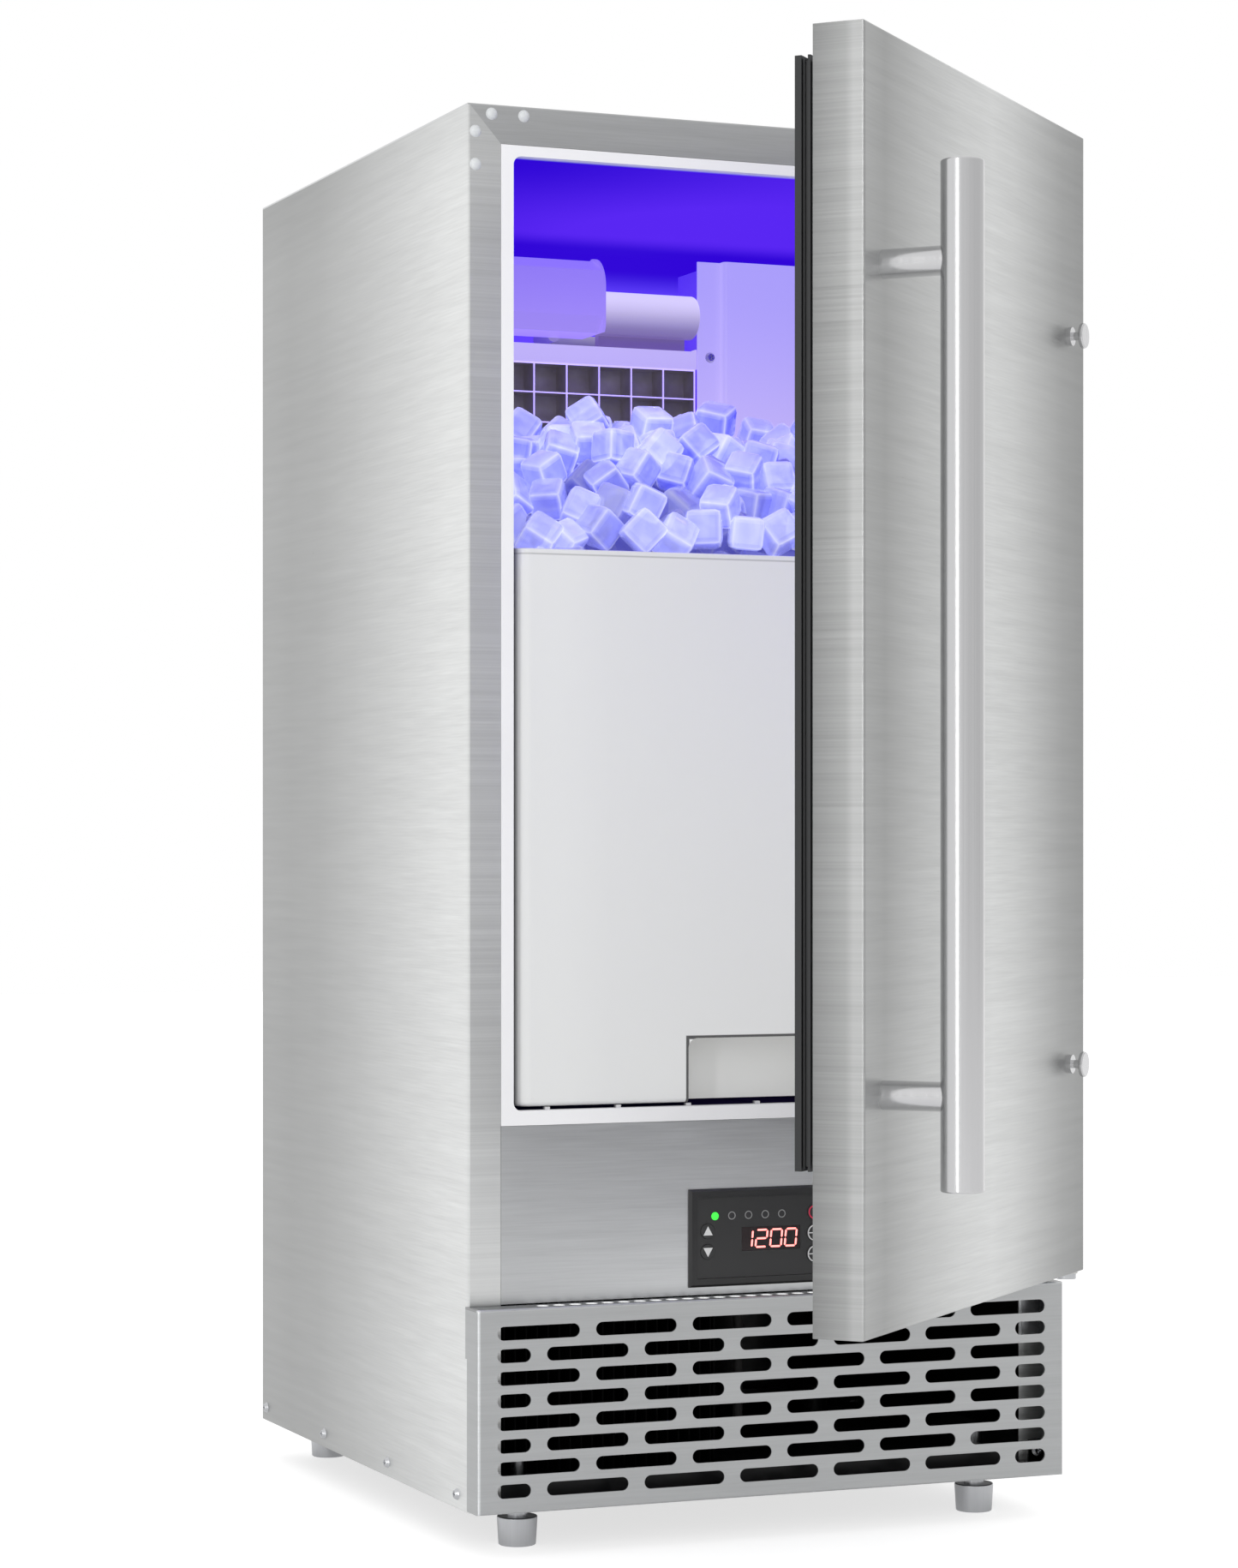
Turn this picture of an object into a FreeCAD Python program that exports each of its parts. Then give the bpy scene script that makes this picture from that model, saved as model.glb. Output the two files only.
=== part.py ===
import FreeCAD, Part
import math
import os

# Under-counter ice maker, in millimetres, +Z up.
# The origin is the centre of the cabinet's footprint on the floor; the front faces -Y.
# The door is modelled closed and then swung to its stored angle about its hinge pins.

V = FreeCAD.Vector
X_AXIS = V(1, 0, 0)
Y_AXIS = V(0, 1, 0)
Z_AXIS = V(0, 0, 1)

# ---- cabinet ---------------------------------------------------------------
cabinet_width = 380.0
cabinet_depth = 400.0
cabinet_height = 840.0
foot_height = 24.0
skin = 1.0                    # stainless sheet
seat_gap = 0.2                # sheet to sheet, where one panel sits inside another
fold_radius = 1.2             # outside of every folded edge of the sheet
stile_width = 20.0            # front return of each side panel
top_rail_height = 22.5        # front return of the top panel
fascia_bottom = 144.0
fascia_top = 247.5

half_width = cabinet_width / 2
front = -cabinet_depth / 2
rear = cabinet_depth / 2
body_bottom = foot_height
inner_half = half_width - skin - seat_gap

# ---- liner and cavity ------------------------------------------------------
liner_wall = 2.5
flange_thickness = 2.0
flange_side = 8.0             # liner flange that shows round the opening
flange_bottom = 8.5
flange_top = 6.5
cavity_depth = 330.0
cavity_corner = 5.0
opening_half = half_width - stile_width
cavity_half = opening_half - flange_side
cavity_floor = fascia_top + flange_bottom
flange_top_edge = cabinet_height - top_rail_height
cavity_ceiling = flange_top_edge - flange_top
cavity_rear = front + cavity_depth
divider_z = 214.5             # underside of the plate over the machine compartment
divider_thickness = 1.5

# ---- evaporator ------------------------------------------------------------
cell_x = 23.0                 # one ice cube's cell
cell_z = 19.5
cell_columns = 9
cell_rows = 7
cell_depth = 18.0
cell_wall = 0.8
evap_standoff = 70.0          # cavity's rear wall to the front of the cells
evap_drop = 84.0              # cavity ceiling to the top of the cells

# ---- kick grille -----------------------------------------------------------
grille_sheet = 1.2
grille_projection = 17.5
grille_overhang = 1.0
grille_bottom = foot_height + 1.4
grille_top = 143.5
slot_height = 8.0
slot_pitch_z = 13.0
slot_rows = 8
slot_first_z = 129.4
slot_length = 51.0
slot_pitch_x = 61.2
slot_margin = 12.4            # grille edge to the first slot
short_slot = 20.6
vent_radius = 2.4
vent_pitch = 10.2
vent_count = 30

# ---- control panel ---------------------------------------------------------
panel_width = 97.0
panel_height = 58.1
panel_centre_x = -2.9
panel_bottom = 148.6
bezel_rim = 3.2
bezel_proud = 2.4
bezel_depth = 14.0
face_recess = 0.8
face_thickness = 1.6
key_clearance = 0.15
key_travel = 0.8
key_proud = 0.7
arrow_key_radius = 4.5
round_key_radius = 5.3
led_radius = 2.4
led_pitch = 10.9

# ---- door ------------------------------------------------------------------
door_width = 370.5
door_bottom = 152.5
door_thickness = 29.0
door_standoff = 15.8          # cabinet front to the back of the door pan
seal_gap = 0.4
pin_from_edge = 7.0
pin_from_face = 9.0
pin_radius = 3.5
pin_fit = 0.05
door_rest_angle = 42.8
gasket_inset = 13.0
gasket_width = 14.0
gasket_low = 238.5             # the seal's lower run closes just above the controls
bar_radius = 11.5
bar_length = 538.0
bar_centre_z = 498.7
bar_standoff = 44.0           # door face to the bar's axis
post_radius = 7.8
post_spacing = 437.0
post_centre_z = 497.6
handle_from_latch = 27.4
tongue_half = 6.0
tongue_thickness = 3.2
hinge_plate = 2.5

# ---- feet ------------------------------------------------------------------
foot_inset_x = 39.0
foot_inset_y = 23.0
foot_pad_radius = 12.0
foot_pad_height = 17.0
stud_radius = 4.0
thread_fit = 0.05
foot_travel = 15.0
stud_left_in = 11.0           # stud still in its boss with the foot wound right down


def block(x0, x1, y0, y1, z0, z1):
    return Part.makeBox(x1 - x0, y1 - y0, z1 - z0, V(x0, y0, z0))


def rod(radius, start, axis, length):
    return Part.makeCylinder(radius, length, start, axis)


def fuse(shapes):
    return shapes[0].multiFuse(shapes[1:]).removeSplitter()


def group(shapes):
    return Part.makeCompound(shapes)


def prism_y(points, y0, y1):
    # points are (x, z); the solid runs from y0 to y1
    ring = [V(x, y0, z) for x, z in points]
    return Part.Face(Part.makePolygon(ring + ring[:1])).extrude(V(0, y1 - y0, 0))


def prism_x(points, x0, x1):
    # points are (y, z); the solid runs from x0 to x1
    ring = [V(x0, y, z) for y, z in points]
    return Part.Face(Part.makePolygon(ring + ring[:1])).extrude(V(x1 - x0, 0, 0))


def round_edges(shape, radius, wanted):
    edges = [e for e in shape.Edges if wanted(e)]
    return shape.makeFillet(radius, edges)


def along_x(e):
    a, b = e.Vertexes[0].Point, e.Vertexes[-1].Point
    return abs(a.y - b.y) < 1e-6 and abs(a.z - b.z) < 1e-6


def along_y(e):
    a, b = e.Vertexes[0].Point, e.Vertexes[-1].Point
    return abs(a.x - b.x) < 1e-6 and abs(a.z - b.z) < 1e-6


def along_z(e):
    a, b = e.Vertexes[0].Point, e.Vertexes[-1].Point
    return abs(a.x - b.x) < 1e-6 and abs(a.y - b.y) < 1e-6


def soft_block(x0, x1, y0, y1, z0, z1, radius, wanted):
    return round_edges(block(x0, x1, y0, y1, z0, z1), radius, wanted)


def obround(x0, x1, zc, height, y0, y1):
    r = height / 2
    body = block(x0 + r, x1 - r, y0, y1, zc - r, zc + r)
    ends = [rod(r, V(x, y0, zc), Y_AXIS, y1 - y0) for x in (x0 + r, x1 - r)]
    return fuse([body] + ends)


def frame_ring(x0, x1, y0, y1, z0, z1, width):
    return block(x0, x1, y0, y1, z0, z1).cut(
        block(x0 + width, x1 - width, y0 - 1, y1 + 1, z0 + width, z1 - width))


def tube(points, radius, bend):
    # straight runs joined by tangent arcs, swept with a round section
    pts = [V(*p) for p in points]
    edges = []
    start = pts[0]
    for before, corner, after in zip(pts, pts[1:], pts[2:]):
        into = (corner - before).normalize()
        out = (after - corner).normalize()
        turn = into.getAngle(out)
        setback = bend * math.tan(turn / 2)
        a = corner - into * setback
        b = corner + out * setback
        to_centre = (out - into).normalize()
        centre = corner + to_centre * (bend / math.cos(turn / 2))
        middle = centre - to_centre * bend
        edges.append(Part.LineSegment(start, a).toShape())
        edges.append(Part.Arc(a, middle, b).toShape())
        start = b
    edges.append(Part.LineSegment(start, pts[-1]).toShape())
    path = Part.Wire(edges)
    first = (pts[1] - pts[0]).normalize()
    profile = Part.Wire([Part.makeCircle(radius, pts[0], first)])
    return path.makePipeShell([profile], True, False)


def pan_screw(head, axis, radius=1.9, length=8.0):
    # head is the point under the screw's head; axis points into the joint
    out = V(-axis.x, -axis.y, -axis.z)
    cap = Part.makeCone(3.5, 2.3, 2.0, head, out)
    shank = rod(radius, head, axis, length)
    drive = block(-0.4, 0.4, -1.7, 1.7, 1.1, 3).fuse(block(-1.7, 1.7, -0.4, 0.4, 1.1, 3))
    turn = FreeCAD.Rotation(Z_AXIS, out)
    drive.Placement = FreeCAD.Placement(head, turn)
    return cap.fuse(shank).cut(drive)


def flat_screw(head, axis, radius=1.9, length=8.0):
    # countersunk: head is the centre of its flat top, flush with the plate
    sink = Part.makeCone(3.4, radius, 1.5, head, axis)
    drive = block(-0.4, 0.4, -1.6, 1.6, -0.9, 1).fuse(block(-1.6, 1.6, -0.4, 0.4, -0.9, 1))
    drive.Placement = FreeCAD.Placement(head, FreeCAD.Rotation(Z_AXIS, axis * -1))
    return sink.fuse(rod(radius, head, axis, length)).cut(drive)


def screw_hole(head, axis, depth=20.0, radius=2.0):
    start = head - axis * 3.0
    return rod(radius, start, axis, depth)


def flat_screw_hole(head, axis):
    return screw_hole(head, axis).fuse(Part.makeCone(3.5, 2.0, 1.5, head, axis))


parts = {}

# ---- where the screws go ---------------------------------------------------
side_screw_z = body_bottom + 8.5
side_screw_pitch = 124.0
side_screw_first = 19.0
side_screws = []
for side in (-1, 1):
    for i in range(4):
        y = front + side_screw_first + i * side_screw_pitch
        if y < rear - 6:
            side_screws.append((V(side * half_width, y, side_screw_z), X_AXIS * -side))

rear_screw_x = half_width - 8.0
rear_screws = []
for side in (-1, 1):
    for k in range(4):
        z = body_bottom + 16 + k * (cabinet_height - body_bottom - 32) / 3
        rear_screws.append((V(side * rear_screw_x, rear, z), Y_AXIS * -1))

# the same hole pattern is drilled at both top corners; plugs close the unused one
plug_spots = [(14.4, 5.6), (34.4, 5.6), (4.4, 16.3), (4.4, 35.4)]   # from the outer edge, from the top
hinge_screws = []
for dx, dz in plug_spots:
    hinge_screws.append((V(half_width - dx, front - hinge_plate, cabinet_height - dz), Y_AXIS))
lower_plate_screws = []
for z in (grille_top - 24, grille_top - 8):
    lower_plate_screws.append((V(half_width - 10, front - hinge_plate, z), Y_AXIS))

grille_screws = []
for side in (-1, 1):
    grille_screws.append((V(side * (half_width - 8), front - grille_sheet, grille_bottom + 13.2), Y_AXIS))

# ---- cabinet shell ---------------------------------------------------------
rear_flange = 12.0
mitre = [(-half_width, cabinet_height), (half_width, cabinet_height),
         (opening_half, flange_top_edge), (-opening_half, flange_top_edge)]
top_return = prism_y(mitre, front, front + skin)
top_sheet = block(-half_width, half_width, front, rear, cabinet_height - skin, cabinet_height)
top_rear = block(-inner_half, inner_half, rear - skin * 2 - seat_gap, rear - skin - seat_gap,
                 cabinet_height - 14, cabinet_height)
top_panel = fuse([top_return, top_sheet, top_rear])
top_panel = round_edges(top_panel, fold_radius, lambda e: along_x(e) and abs(e.BoundBox.YMin - front) < 1e-6
                        and abs(e.BoundBox.ZMin - cabinet_height) < 1e-6)

side_sheet = block(-half_width, -half_width + skin, front, rear, body_bottom, cabinet_height - skin)
stile = prism_y([(-half_width, body_bottom), (-opening_half, body_bottom),
                 (-opening_half, flange_top_edge), (-half_width, cabinet_height)], front, front + skin)
back_return = block(-half_width, -half_width + skin + rear_flange,
                    rear - skin * 2 - seat_gap, rear - skin - seat_gap, body_bottom, cabinet_height - 15)
left_panel = fuse([side_sheet, stile, back_return]).cut(block(-half_width - 1, half_width, front - 1,
                                                              rear + 1,
                                                            cabinet_height - skin, cabinet_height + 1))
left_panel = left_panel.cut(top_return).cut(top_rear)
left_panel = round_edges(left_panel, fold_radius, lambda e: along_z(e) and abs(e.BoundBox.YMax - front) < 1e-6
                         and abs(e.BoundBox.XMin + half_width) < 1e-6)
right_panel = left_panel.mirror(V(0, 0, 0), X_AXIS)

rear_panel = block(-inner_half, inner_half, rear - skin, rear, body_bottom + 2,
                   cabinet_height - skin - seat_gap)
vent_rows = 7
for side in (-1, 1):
    for row in range(vent_rows):
        xc = side * inner_half * 0.5
        rear_panel = rear_panel.cut(obround(xc - 55, xc + 55, body_bottom + 96 + row * 12.0, 5, rear - 3,
                                            rear + 3))

# ---- base pan with welded bosses for the feet ------------------------------
pan_sheet = 1.5
pan_flange = 20.0
pan_front = front + skin + seat_gap
pan_rear = rear - skin * 2 - seat_gap * 2
pan_outer = block(-inner_half, inner_half, pan_front, pan_rear, body_bottom, body_bottom + pan_flange)
pan_hollow = block(-inner_half + pan_sheet, inner_half - pan_sheet, pan_front + pan_sheet,
                   pan_rear - pan_sheet,
                   body_bottom + pan_sheet, body_bottom + pan_flange + 1)
foot_spots = {}
for end, y in (("front", front + foot_inset_y), ("rear", rear - foot_inset_y)):
    for hand, side in (("left", -1), ("right", 1)):
        foot_spots[end + "_" + hand] = V(side * (half_width - foot_inset_x), y, 0)
boss_top = body_bottom + 12.0
bosses = [rod(8.0, V(p.x, p.y, body_bottom), Z_AXIS, boss_top - body_bottom) for p in foot_spots.values()]
base_pan = fuse([pan_outer.cut(pan_hollow)] + bosses)
for p in foot_spots.values():
    base_pan = base_pan.cut(rod(stud_radius + thread_fit, V(p.x, p.y, body_bottom - 1), Z_AXIS, 30))

for name, p in foot_spots.items():
    pad = Part.makeCone(foot_pad_radius - 1, foot_pad_radius, foot_pad_height, V(p.x, p.y, 0), Z_AXIS)
    pad = round_edges(pad, 0.8, lambda e: abs(e.BoundBox.ZMax - e.BoundBox.ZMin) < 1e-6)
    neck = rod(6.0, V(p.x, p.y, foot_pad_height), Z_AXIS, foot_height - foot_pad_height - 0.2)
    stud = rod(stud_radius, V(p.x, p.y, foot_pad_height), Z_AXIS,
               foot_height - foot_pad_height + foot_travel + stud_left_in)
    parts["foot_" + name] = fuse([pad, neck, stud])

# ---- kick grille -----------------------------------------------------------
grille_half = half_width + grille_overhang
grille_front = front - grille_projection
ledge_rear = front - hinge_plate - 0.4
face = block(-grille_half, grille_half, grille_front, grille_front + grille_sheet, grille_bottom, grille_top)
ledge = block(-grille_half, grille_half, grille_front, ledge_rear, grille_top - grille_sheet, grille_top)
sill = block(-grille_half, grille_half, grille_front, front - 3.5, grille_bottom,
             grille_bottom + grille_sheet)
cheeks = []
for side in (-1, 1):
    xs = sorted((side * (half_width + seat_gap / 4), side * grille_half))
    cheeks.append(block(xs[0], xs[1], grille_front, front - seat_gap, grille_bottom, grille_top))
    cheeks.append(block(xs[0], xs[1], front - 2, front + 2.5, grille_top - 30, grille_top))
    xs = sorted((side * (half_width - 14), side * grille_half))
    cheeks.append(block(xs[0], xs[1], front - grille_sheet, front - 0.02, grille_bottom, grille_bottom + 20))
grille = fuse([face, ledge, sill] + cheeks)
grille = round_edges(grille, fold_radius, lambda e: abs(e.BoundBox.YMin - grille_front) < 1e-6
                     and abs(e.BoundBox.YMax - grille_front) < 1e-6)
slot_cuts = []
for row in range(slot_rows):
    z = slot_first_z - row * slot_pitch_z
    first = -grille_half + slot_margin
    last = grille_half - slot_margin
    x = first
    if row % 2:
        slot_cuts.append(obround(first, first + short_slot, z, slot_height, grille_front - 1,
                                 grille_front + 3))
        slot_cuts.append(obround(last - short_slot, last, z, slot_height, grille_front - 1, grille_front + 3))
        x = first + slot_pitch_x / 2
    while x + slot_length < last + 6:
        slot_cuts.append(obround(x, min(x + slot_length, last), z, slot_height, grille_front - 1,
                                 grille_front + 3))
        x += slot_pitch_x
for i in range(vent_count):
    x = (i - (vent_count - 1) / 2) * vent_pitch
    slot_cuts.append(rod(vent_radius, V(x, (grille_front + ledge_rear) / 2, grille_top - 3), Z_AXIS, 6))
grille = grille.cut(slot_cuts)

# ---- lower front panel, with the opening for the controls ------------------
panel_left = panel_centre_x - panel_width / 2
panel_right = panel_centre_x + panel_width / 2
panel_top = panel_bottom + panel_height
fascia_lip = 12.0
fascia = block(-opening_half + seat_gap, opening_half - seat_gap, front, front + skin, fascia_bottom,
               fascia_top - seat_gap)
lip_low = block(-opening_half + seat_gap, opening_half - seat_gap, front, front + fascia_lip, fascia_bottom,
                fascia_bottom + skin)
lip_high = block(-opening_half + seat_gap, opening_half - seat_gap, front, front + fascia_lip,
                 fascia_top - seat_gap - skin, fascia_top - seat_gap)
tabs = []
for side in (-1, 1):
    xs = sorted((side * (opening_half - 10), side * (opening_half + 14)))
    tabs.append(block(xs[0], xs[1], front + skin, front + skin * 2, fascia_bottom + 4, fascia_top - 20))
cutout = block(panel_left + bezel_rim, panel_right - bezel_rim, front - 5, front + fascia_lip + 5,
               panel_bottom + bezel_rim, panel_top - bezel_rim)
parts["lower_front_panel"] = fuse([fascia, lip_low, lip_high] + tabs).cut(cutout)

# ---- controls --------------------------------------------------------------
shell_gap = 0.3
rim = block(panel_left, panel_right, front - bezel_proud, front, panel_bottom, panel_top)
rim = rim.makeChamfer(bezel_proud * 0.6,
                      [e for e in rim.Edges if abs(e.BoundBox.YMax - (front - bezel_proud)) < 1e-6])
box = block(panel_left + bezel_rim + shell_gap, panel_right - bezel_rim - shell_gap, front,
            front + bezel_depth,
            panel_bottom + bezel_rim + shell_gap, panel_top - bezel_rim - shell_gap)
hollow = block(panel_left + bezel_rim + 1.8, panel_right - bezel_rim - 1.8, front - 5,
               front + bezel_depth + 1,
               panel_bottom + bezel_rim + 1.8, panel_top - bezel_rim - 1.8)
parts["control_bezel"] = fuse([rim, box]).cut(hollow)

face_front = front - bezel_proud + face_recess
face_gap = 0.1
face_box = [panel_left + bezel_rim + 1.8 + face_gap, panel_right - bezel_rim - 1.8 - face_gap,
            panel_bottom + bezel_rim + 1.8 + face_gap, panel_top - bezel_rim - 1.8 - face_gap]
face_plate = block(face_box[0], face_box[1], face_front, face_front + face_thickness, face_box[2],
                   face_box[3])

led_row_z = panel_top - 16.2
led_first_x = panel_left + 16.6
key_spots = {
    "up_key": (panel_left + 11.8, panel_top - 25.0, arrow_key_radius),
    "down_key": (panel_left + 11.8, panel_top - 37.2, arrow_key_radius),
    "power_key": (panel_right - 15.0, panel_top - 16.0, round_key_radius - 0.6),
    "timer_key": (panel_right - 15.0, panel_top - 28.4, round_key_radius),
    "clean_key": (panel_right - 15.0, panel_top - 41.0, round_key_radius),
}
window = [panel_left + 34.0, panel_left + 72.5, panel_top - 37.6, panel_top - 23.4]
window_hole = block(window[0], window[1], face_front - 1, face_front + 4, window[2], window[3])
face_cuts = [window_hole]
leds = []
for i in range(5):
    x = led_first_x + i * led_pitch
    face_cuts.append(rod(led_radius + 0.05, V(x, face_front - 1, led_row_z), Y_AXIS, 5))
    leds.append(rod(led_radius, V(x, face_front - 0.15, led_row_z), Y_AXIS, 4.0))
board_front = front + 8.0
for name, (x, z, r) in key_spots.items():
    face_cuts.append(rod(r + key_clearance, V(x, face_front - 1, z), Y_AXIS, 5))
    cap = rod(r, V(x, face_front - key_proud, z), Y_AXIS, face_thickness + key_proud + 0.8)
    cap = round_edges(cap, 0.4, lambda e: abs(e.BoundBox.YMax - (face_front - key_proud)) < 1e-6
                      and e.BoundBox.XMax - e.BoundBox.XMin > 1)
    stem = rod(1.6, V(x, face_front + face_thickness, z), Y_AXIS,
               board_front - 3.4 - key_travel - face_front - face_thickness)
    parts[name] = fuse([cap, stem])
parts["control_face"] = face_plate.cut(face_cuts)
parts["indicator_leds"] = group(leds)
parts["display_window"] = block(window[0] + 0.1, window[1] - 0.1, face_front + 0.1, face_front + 1.4,
                                window[2] + 0.1, window[3] - 0.1)
board = block(face_box[0] + 1, face_box[1] - 1, board_front, board_front + 1.6, face_box[2] + 1,
              face_box[3] - 1)
digits_block = block(window[0] + 1, window[1] - 1, face_front + 2.2, board_front, window[2] + 1,
                     window[3] - 1)
switches = [block(x - 3, x + 3, board_front - 3.3, board_front, z - 3, z + 3) for x, z,
            r in key_spots.values()]
parts["control_board"] = fuse([board, digits_block] + switches)

# ---- liner, foam and divider -----------------------------------------------
flange_back = front + flange_thickness
liner_flange = block(-opening_half + seat_gap, opening_half - seat_gap, front, flange_back, fascia_top,
                     flange_top_edge - seat_gap)
liner_box = block(-cavity_half - liner_wall, cavity_half + liner_wall, front, cavity_rear + liner_wall,
                  cavity_floor - liner_wall, cavity_ceiling + liner_wall)
cavity = soft_block(-cavity_half, cavity_half, front - 20, cavity_rear, cavity_floor, cavity_ceiling,
                    cavity_corner, along_y)
liner = fuse([liner_flange, liner_box]).cut(cavity)
ribs = []
for i in range(-3, 4):
    ribs.append(block(i * 45.0 - 5, i * 45.0 - 2, front + 6, cavity_rear - 100, cavity_floor - 0.5,
                      cavity_floor + 1.6))
liner = fuse([liner] + ribs)

foam_gap = 0.2
foam = block(-inner_half, inner_half, front + skin * 2 + foam_gap, rear - skin * 2 - seat_gap - foam_gap,
             divider_z + divider_thickness, cabinet_height - skin - foam_gap)
foam = foam.cut(block(-cavity_half - liner_wall, cavity_half + liner_wall, front - 1,
                      cavity_rear + liner_wall,
                      cavity_floor - liner_wall, cavity_ceiling + liner_wall))
foam = foam.cut(block(-half_width, half_width, front, front + fascia_lip + 2, divider_z - 5, fascia_top))
parts["divider_plate"] = block(-inner_half, inner_half, front + fascia_lip + 2,
                               rear - skin * 2 - seat_gap - foam_gap,
                               divider_z, divider_z + divider_thickness)

# ---- ice bin ---------------------------------------------------------------
bin_gap = 4.0
bin_wall = 3.0
bin_floor = cavity_floor + 2.0
evap_front = cavity_rear - evap_standoff
grid_top = cavity_ceiling - evap_drop
grid_bottom = grid_top - cell_rows * cell_z
bin_top = grid_bottom - 6.5
bin_front = front + 5.0
bin_rear = evap_front - 33.0
bin_half = cavity_half - bin_gap
bin_corner = 9.0
recess_half = 49.0
recess_height = 38.0
recess_depth = 30.0
bin_outer = soft_block(-bin_half, bin_half, bin_front, bin_rear, bin_floor, bin_top, bin_corner, along_z)
bin_outer = round_edges(bin_outer, 3.0, lambda e: abs(e.BoundBox.ZMax - bin_floor) < 1e-6)
bin_inner = soft_block(-bin_half + bin_wall, bin_half - bin_wall, bin_front + bin_wall, bin_rear - bin_wall,
                       bin_floor + bin_wall, bin_top + 5, bin_corner - bin_wall, along_z)
recess = soft_block(-recess_half, recess_half, bin_front - 20, bin_front + recess_depth,
                    bin_floor - 20, bin_floor + recess_height, 6.0, along_y)
recess_wall = soft_block(-recess_half - bin_wall, recess_half + bin_wall, bin_front + 1,
                         bin_front + recess_depth + bin_wall,
                         bin_floor, bin_floor + recess_height + bin_wall, 1.0, along_x)
ice_bin = bin_outer.cut(bin_inner)
ice_bin = fuse([ice_bin, recess_wall.common(bin_outer)]).cut(recess)
ice_bin = round_edges(ice_bin, 1.2, lambda e: abs(e.BoundBox.ZMin - bin_top) < 1e-6)
parts["ice_bin"] = ice_bin

# ---- evaporator and its water parts ----------------------------------------
grid_left = -cavity_half + 22.0
grid_right = grid_left + cell_columns * cell_x
plate_back = evap_front + cell_depth
grid = [block(grid_left, grid_right, plate_back, plate_back + 1.5, grid_bottom, grid_top)]
for i in range(cell_columns + 1):
    x = grid_left + i * cell_x
    x0 = min(max(x - cell_wall / 2, grid_left), grid_right - cell_wall)
    grid.append(block(x0, x0 + cell_wall, evap_front, plate_back, grid_bottom, grid_top))
for k in range(cell_rows + 1):
    z = grid_bottom + k * cell_z
    z0 = min(max(z - cell_wall / 2, grid_bottom), grid_top - cell_wall)
    grid.append(block(grid_left, grid_right, evap_front, plate_back, z0, z0 + cell_wall))

coil_radius = 4.0
coil_y = plate_back + 1.5 + coil_radius
coil_points = []
for k in range(cell_rows):
    z = grid_top - (k + 0.5) * cell_z
    ends = (grid_left + 18, grid_right - 18)
    coil_points += [(x, coil_y, z) for x in (ends if k % 2 == 0 else ends[::-1])]
coil_points[0] = (grid_left + 4, coil_y, coil_points[0][2])
coil = tube(coil_points, coil_radius - 0.05, cell_z / 2 - 0.01)
solder = [block(grid_left + 18, grid_right - 18, plate_back + 1.4, coil_y - 3, p[2] - 2,
                p[2] + 2) for p in coil_points[::2]]
parts["evaporator_plate"] = fuse(grid + solder + [coil])

bar_height = 12.0
frame_lip = 8.0
surround_left, surround_right = grid_left - frame_lip, grid_right + 0.2
surround = block(surround_left, surround_right, evap_front - 2.0, plate_back + 4, grid_bottom - frame_lip,
                 grid_top + bar_height)
surround = surround.cut(block(grid_left - 0.2, grid_right + 5, evap_front - 5, plate_back + 10,
                              grid_bottom - 0.2, grid_top + 0.2))
legs = []
for z0 in (grid_bottom - frame_lip, grid_top + 0.2):
    z1 = z0 + frame_lip - 0.2 if z0 < grid_bottom else grid_top + bar_height
    legs.append(block(surround_left, surround_left + 12, plate_back, cavity_rear, z0, z1))
    legs.append(block(surround_right - 14, surround_right, plate_back, cavity_rear, z0, z1))
cover_screw_z = (grid_top + 8.6, grid_bottom - 2.5)
ears = [block(surround_right, surround_right + 15, evap_front + 0.1, evap_front + 7, z - 5,
              z + 5) for z in cover_screw_z]
evaporator_frame = fuse([surround] + legs + ears)

roll_left = -cavity_half + 158.0
roll_right = grid_right - 1.0
roll_top = grid_top + 49.0
roll_bottom = grid_top + bar_height + 8.0
roll_front = evap_front - 12.0
roll_radius = (roll_top - roll_bottom) / 2
roll_mid = (roll_top + roll_bottom) / 2
roll = rod(roll_radius, V(roll_left, roll_front + roll_radius, roll_mid), X_AXIS, roll_right - roll_left)
roll = roll.fuse(block(roll_left, roll_right, roll_front + roll_radius, cavity_rear, roll_mid,
                       roll_top)).removeSplitter()
roll = round_edges(roll, 2.0, lambda e: abs(e.BoundBox.XMin - roll_right) < 1e-6)
drip = block(roll_left + 4, roll_right - 4, roll_front + roll_radius + 4, roll_front + roll_radius + 10,
             grid_top + bar_height, roll_mid)
parts["water_distributor"] = fuse([roll, drip])

feed_left = -cavity_half + 6.0
feed_right = roll_left - 0.2
feed_bottom = roll_bottom - 2.0
feed_front = evap_front - 17.0
feed_top = grid_top + 60.0
feed = prism_x([(feed_front, feed_bottom + 12), (feed_front, feed_top), (feed_front + 16, feed_top + 8),
                (feed_front + 42, feed_top + 8), (feed_front + 42, feed_bottom + 2),
                (feed_front + 10, feed_bottom + 2)],
               feed_left, feed_right - 2)
ear_top = feed_top + 10.0
ear_curve = Part.Arc(V(feed_right - 2, feed_front, feed_top - 12),
                     V(feed_right - 2, feed_front + 6, ear_top - 6),
                     V(feed_right - 2, feed_front + 21, ear_top)).toShape()
ear_rest = Part.makePolygon([V(feed_right - 2, feed_front + 21, ear_top),
                             V(feed_right - 2, feed_front + 42, ear_top - 7),
                             V(feed_right - 2, feed_front + 42, feed_bottom + 2),
                             V(feed_right - 2, feed_front + 2, feed_bottom + 2),
                             V(feed_right - 2, feed_front, feed_bottom + 6),
                             V(feed_right - 2, feed_front, feed_top - 12)])
ear = Part.Face(Part.Wire([ear_curve] + ear_rest.Edges)).extrude(V(2, 0, 0))
bracket = block(feed_left, feed_left + 16, feed_front + 42, cavity_rear, feed_top - 14, feed_top - 4)
parts["water_feed_box"] = fuse([feed, ear, bracket])

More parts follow.
